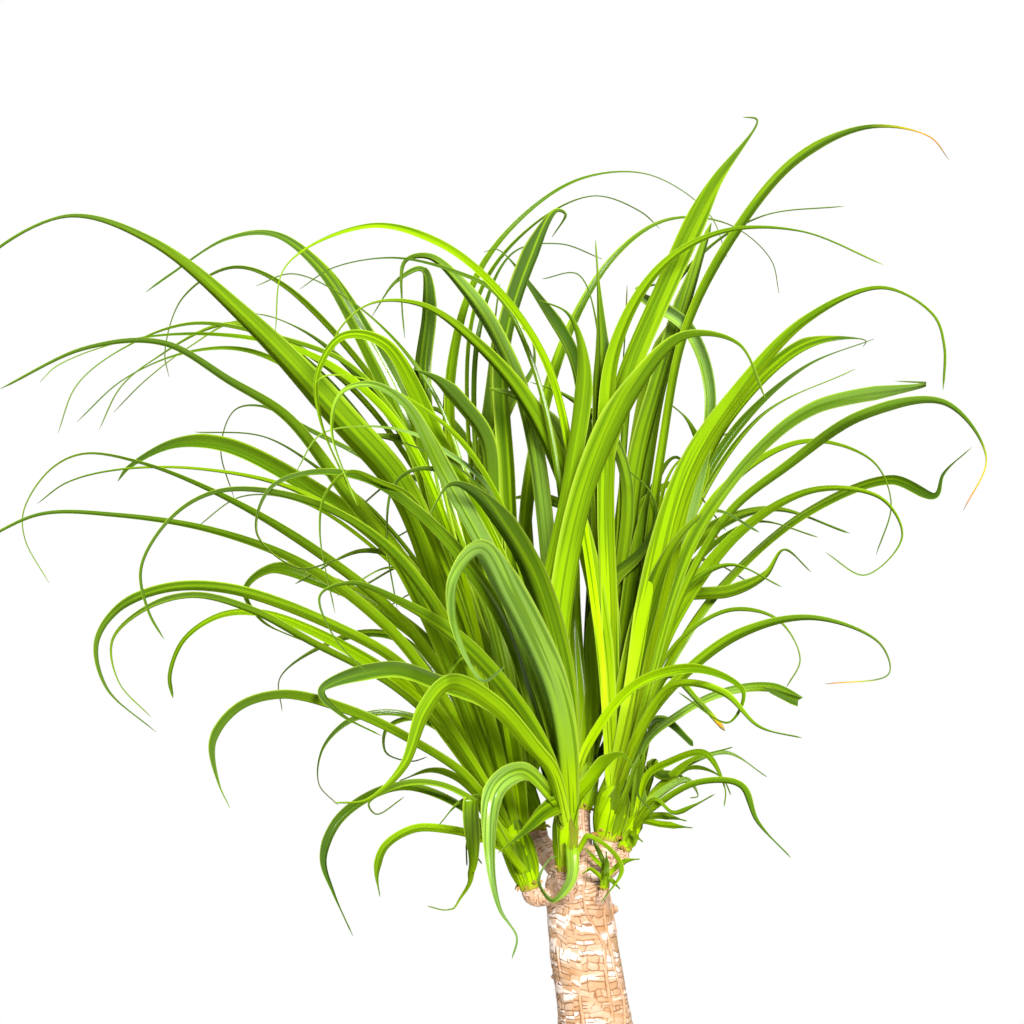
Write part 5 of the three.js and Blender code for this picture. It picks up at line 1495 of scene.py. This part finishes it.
def make_fork(head_name):
    head, base, _, lean, *_ = heart_of(head_name)
    start = from_photo(*head["stub"])
    end = base - lean * GAP
    neck = end - lean * head["radius"] * 0.8
    middle = start + (neck - start) * 0.55 - lean * 2
    line = curve_through(np.array([start, middle, neck, end]), FORK_STEPS)
    length = runs_along(line)[-1]
    wood, foot = head["wood"], head["radius"]
    radii = (wood * 0.92, wood * 0.88, (wood + foot) * 0.46, foot)
    girth = 2 * math.pi * wood
    tangents = normalised(np.gradient(line, axis=0))

    def place(turn, run):
        steps = np.arange(FORK_STEPS + 1)
        centre = read_between(run * FORK_STEPS, steps, line)
        across, over = frame_of(normalised(read_between(run * FORK_STEPS, steps, tangents)))
        angle = turn * 2 * math.pi
        relief, marks = bark_relief(turn, run * length + 40, girth, FORK_SEED + head["seed"], 0.75, 0.5)
        radius = np.interp(run, (0, 1 / 3, 2 / 3, 1), radii) + relief * 0.5
        points = centre + across * (np.sin(angle) * radius)[:, None]
        points += over * (np.cos(angle) * radius)[:, None]
        marks["young"] = 0.45 + 0.55 * run
        marks["flake"] *= 0.4
        return points, marks

    rows = int(max(FEWEST_FORK_ROWS, length * FORK_ROWS_PER_MM))
    return wrap_tube(f"{head_name}_fork", FORK_COLUMNS, rows, place)


forks = join("trunk_forks", [make_fork(head_name) for head_name in HEADS])
print("forks:", len(forks.data.vertices), "points")

# %% [markdown]
# ## Bark finish
# Weathered cork is a pale warm beige. Flakes that have lifted are almost white, and this near white also
# stands in as painted highlight on the bark. The cords are tan, and a reddish brown lies down in the cracks.
# The relief already knows where each of these is, so the finish reads its marks and adds fine grain with
# noise.

# %% Bark finish
bark = Finish("corky_bark")
grain = bark.noise(bark.coordinates, 420, 4.0, 0.6)
blotch = bark.noise(bark.coordinates, 90, 3.0, 0.55)
surface = bark.ramp(bark.attribute("plate") * 0.6 + blotch * 0.4, [
    (0.2, (0.225, 0.11, 0.038)), (0.42, (0.27, 0.155, 0.076)),
    (0.6, (0.30, 0.195, 0.12)), (0.8, (0.35, 0.25, 0.175)),
])
young = bark.attribute("young")
surface = bark.layers(
    surface,
    (bark.attribute("cord") * 0.7, (0.27, 0.14, 0.06)),
    # Flakes painted near white, which is also painted highlight.
    (bark.attribute("flake") * 0.9, (0.46, 0.39, 0.34)),
    (young * 0.45, (0.42, 0.28, 0.19)),
    (young * blotch.between(0.55, 0.7) * 0.4, (0.20, 0.10, 0.045)),
    (grain.between(0.5, 0.8) * 0.25, (0.17, 0.085, 0.04)),
    (bark.attribute("crack").between(0.25, 0.75) * 0.9, (0.13, 0.042, 0.006)),
)
bark.paint(Base_Color=surface, Roughness=0.7 + grain * 0.25)
bark.bump(grain * 0.6 + blotch * 0.4, 0.4, 0.0006)
mount(stem, "trunk", bark)
mount(forks, None, bark)

# %% [markdown]
# ## Pot
# The photograph ends above the pot, so it is a plain one of the size that such a plant needs: a tapered
# stoneware pot with a rolled rim band. It could be spun from a profile. Here a ring is added at the foot
# and its edge is extruded from one height to the next, up the outside and down the inside, and then the
# corners are bevelled.

# %% Pot
POT_HEIGHT, POT_TOP, POT_FOOT = 218, 122, 88
POT_WALL, POT_FLOOR, RIM_HEIGHT, RIM_BULGE, EASING = 8, 12, 30, 5, 3
ROUND = 144
BEVEL_STEPS, SHARP_CORNER, TURNED_SMOOTHING = 4, 25, 35


def lathe(name, profile, bevel=0.0):
    """A turned piece from rows of radius and height in mm: a ring is extruded up and down the profile."""
    deselect_all()
    radius, height = profile[0]
    bpy.ops.mesh.primitive_circle_add(vertices=ROUND, radius=radius * MM)
    piece = bpy.context.object
    piece.name = name
    bpy.ops.object.mode_set(mode="EDIT")
    bpy.ops.mesh.select_mode(type="EDGE")
    bpy.ops.mesh.select_all(action="SELECT")
    bpy.ops.transform.translate(value=(0, 0, height * MM))
    bpy.ops.mesh.edge_face_add()
    for next_radius, next_height in profile[1:]:
        rise = (0, 0, (next_height - height) * MM)
        bpy.ops.mesh.extrude_edges_move(TRANSFORM_OT_translate={"value": rise})
        grow = next_radius / radius
        bpy.ops.transform.resize(value=(grow, grow, 1), center_override=(0, 0, next_height * MM))
        radius, height = next_radius, next_height
    bpy.ops.mesh.edge_face_add()
    bpy.ops.mesh.select_all(action="SELECT")
    bpy.ops.mesh.normals_make_consistent(inside=False)
    bpy.ops.object.mode_set(mode="OBJECT")
    if bevel:
        corners = piece.modifiers.new("corners", "BEVEL")
        corners.width = bevel * MM
        corners.segments = BEVEL_STEPS
        corners.limit_method = "ANGLE"
        corners.angle_limit = math.radians(SHARP_CORNER)
        bpy.ops.object.modifier_apply(modifier="corners")
    bpy.ops.object.shade_smooth_by_angle(angle=math.radians(TURNED_SMOOTHING))
    return piece


rim_foot = POT_HEIGHT - RIM_HEIGHT
rim_radius = POT_FOOT + (POT_TOP - POT_FOOT) * rim_foot / POT_HEIGHT
pot = lathe("stoneware_pot", [
    (POT_FOOT - 14, 3), (POT_FOOT - 10, 0), (POT_FOOT, 0),
    (rim_radius, rim_foot), (rim_radius + RIM_BULGE, rim_foot + 2),
    (POT_TOP + RIM_BULGE, POT_HEIGHT), (POT_TOP - POT_WALL, POT_HEIGHT), (POT_FOOT - POT_WALL, POT_FLOOR),
], bevel=2.4)
print("pot:", len(pot.data.vertices), "points")

# %% [markdown]
# ## Pot finish
# Stoneware has a satin glaze: an even off-white with fine iron specks, thinner and warmer along the rim
# where the glaze runs back. Specks come from a fine noise cut high, so that few of them show.

# %% Pot finish
glaze = Finish("satin_stoneware", Coat_Weight=0.2, Coat_Roughness=0.25)
height_on_pot = glaze.number("ShaderNodeSeparateXYZ", None, {0: glaze.coordinates}, output="Z")
specks = glaze.noise(glaze.coordinates, 520, 2.0, 0.5).between(0.68, 0.74)
drift = glaze.noise(glaze.coordinates, 22, 3.0, 0.5)
body = glaze.ramp(drift, [(0.3, (0.34, 0.32, 0.28)), (0.7, (0.40, 0.38, 0.34))])
body = glaze.layers(
    body,
    (height_on_pot.between((POT_HEIGHT - 4.5) * MM, POT_HEIGHT * MM) * 0.6, (0.30, 0.22, 0.15)),
    (specks * 0.7, (0.12, 0.07, 0.04)),
)
glaze.paint(Base_Color=body, Roughness=0.3 + drift * 0.15)
glaze.bump(drift + glaze.noise(glaze.coordinates, 160, 2.0, 0.5) * 0.2, 0.2, 0.001)
mount(pot, "pot", glaze)

# %% [markdown]
# ## Soil
# The pot is filled with dark potting soil, mounded a little against the swollen foot. A lathed bed keeps
# the form of the solid, its top is roughened point by point, and crumbs lie on it. One small sphere is
# modelled, and each copy of it is pushed out of round, stretched, scaled and sunk by seeded draws.

# %% Soil bed
SOIL_MOUND, MOUND_WIDTH, HOLE_ROOM = 4, 14, 1.2
TOP_ROWS = 16
CRUMBS = 420
SMALL_CRUMB, LARGE_CRUMB, SMALL_SHARE = (1.2, 3.6), (3.6, 6.0), 0.8
CRUMB_STRETCH, CRUMB_UNEVENNESS = (0.6, 1.3), 0.22
SOIL_SEED = 29
# Lumps of the bed: height in mm, cells round it, width of a cell in mm, and seed.
BED_LUMPS = ((1.5, 44, 9, 61), (0.9, 130, 4, 62))


def inside_pot(level):
    share = (level - POT_FLOOR) / (POT_HEIGHT - EASING - POT_FLOOR)
    return POT_FOOT - POT_WALL + (POT_TOP - POT_FOOT) * share - GAP


mouth = np.interp(SOIL_TOP, *zip(*STEM_PROFILE)) + HOLE_ROOM
floor_level = POT_FLOOR + GAP
rim_of_soil = inside_pot(SOIL_TOP)
top_rows = np.linspace(rim_of_soil, mouth, TOP_ROWS)
mound = SOIL_MOUND * np.clip(1 - (top_rows - mouth - MOUND_WIDTH) / MOUND_WIDTH, 0, 1)
mound = np.where(top_rows < mouth + MOUND_WIDTH, SOIL_MOUND * np.clip((top_rows - mouth) / 5, 0, 1), mound)
hole = [(radius + HOLE_ROOM, level - GAP) for level, radius in STEM_PROFILE if level < SOIL_TOP][::-1]
soil = lathe("soil_bed", [
    (inside_pot(floor_level), floor_level), *zip(top_rows, SOIL_TOP + mound), *hole,
])
bed = read_points(soil) / MM
radius = np.hypot(bed[:, 0], bed[:, 1])
on_top = (bed[:, 2] > SOIL_TOP - 0.1) & (radius > mouth + 1) & (radius < rim_of_soil - 1)
turn = np.arctan2(bed[:, 1], bed[:, 0]) / (2 * math.pi) + 0.5
rough_top = sum(lump * patchy(turn, radius, *patch) for lump, *patch in BED_LUMPS)
bed[:, 2] += np.where(on_top, rough_top, 0)
write_points(soil, bed)
print("soil bed:", len(bed), "points")

# %% Crumbs
deselect_all()
bpy.ops.mesh.primitive_ico_sphere_add(subdivisions=2, radius=1)
crumb = bpy.context.object
bpy.ops.object.shade_smooth()
ball = read_points(crumb)
random = np.random.default_rng(SOIL_SEED)
lumps = [soil]
for number in range(CRUMBS):
    size = random.uniform(*(SMALL_CRUMB if random.uniform() < SMALL_SHARE else LARGE_CRUMB))
    stretch = random.uniform(*CRUMB_STRETCH, 3)
    uneven = 1 + CRUMB_UNEVENNESS * np.sin(ball @ random.uniform(-4, 4, (3, 3))).sum(1, keepdims=True) / 1.5
    away = math.sqrt(random.uniform((mouth + 2) ** 2, (rim_of_soil - 4) ** 2))
    angle = random.uniform(0, 2 * math.pi)
    spot = np.array([away * math.cos(angle), away * math.sin(angle), SOIL_TOP + 1.5 + size * 0.15])
    copy = crumb.copy()
    copy.data = crumb.data.copy()
    bpy.context.scene.collection.objects.link(copy)
    write_points(copy, spot + ball * uneven * stretch * size)
    lumps.append(copy)
bpy.data.objects.remove(crumb)
soil = join("soil_bed", lumps)
print("soil:", CRUMBS, "crumbs on the bed")

# %% Soil finish
earth = Finish("potting_soil", Roughness=0.95)
clod = earth.noise(earth.coordinates, 120, 4.0, 0.6)
fleck = earth.noise(earth.coordinates, 330, 2.0, 0.5).between(0.66, 0.72)
loam = earth.ramp(clod, [
    (0.3, (0.020, 0.012, 0.007)), (0.55, (0.055, 0.033, 0.019)), (0.75, (0.12, 0.075, 0.042)),
])
earth.paint(Base_Color=earth.layers(loam, (fleck * 0.5, (0.34, 0.25, 0.16))))
earth.bump(clod, 0.8, 0.002)
mount(soil, "soil", earth)
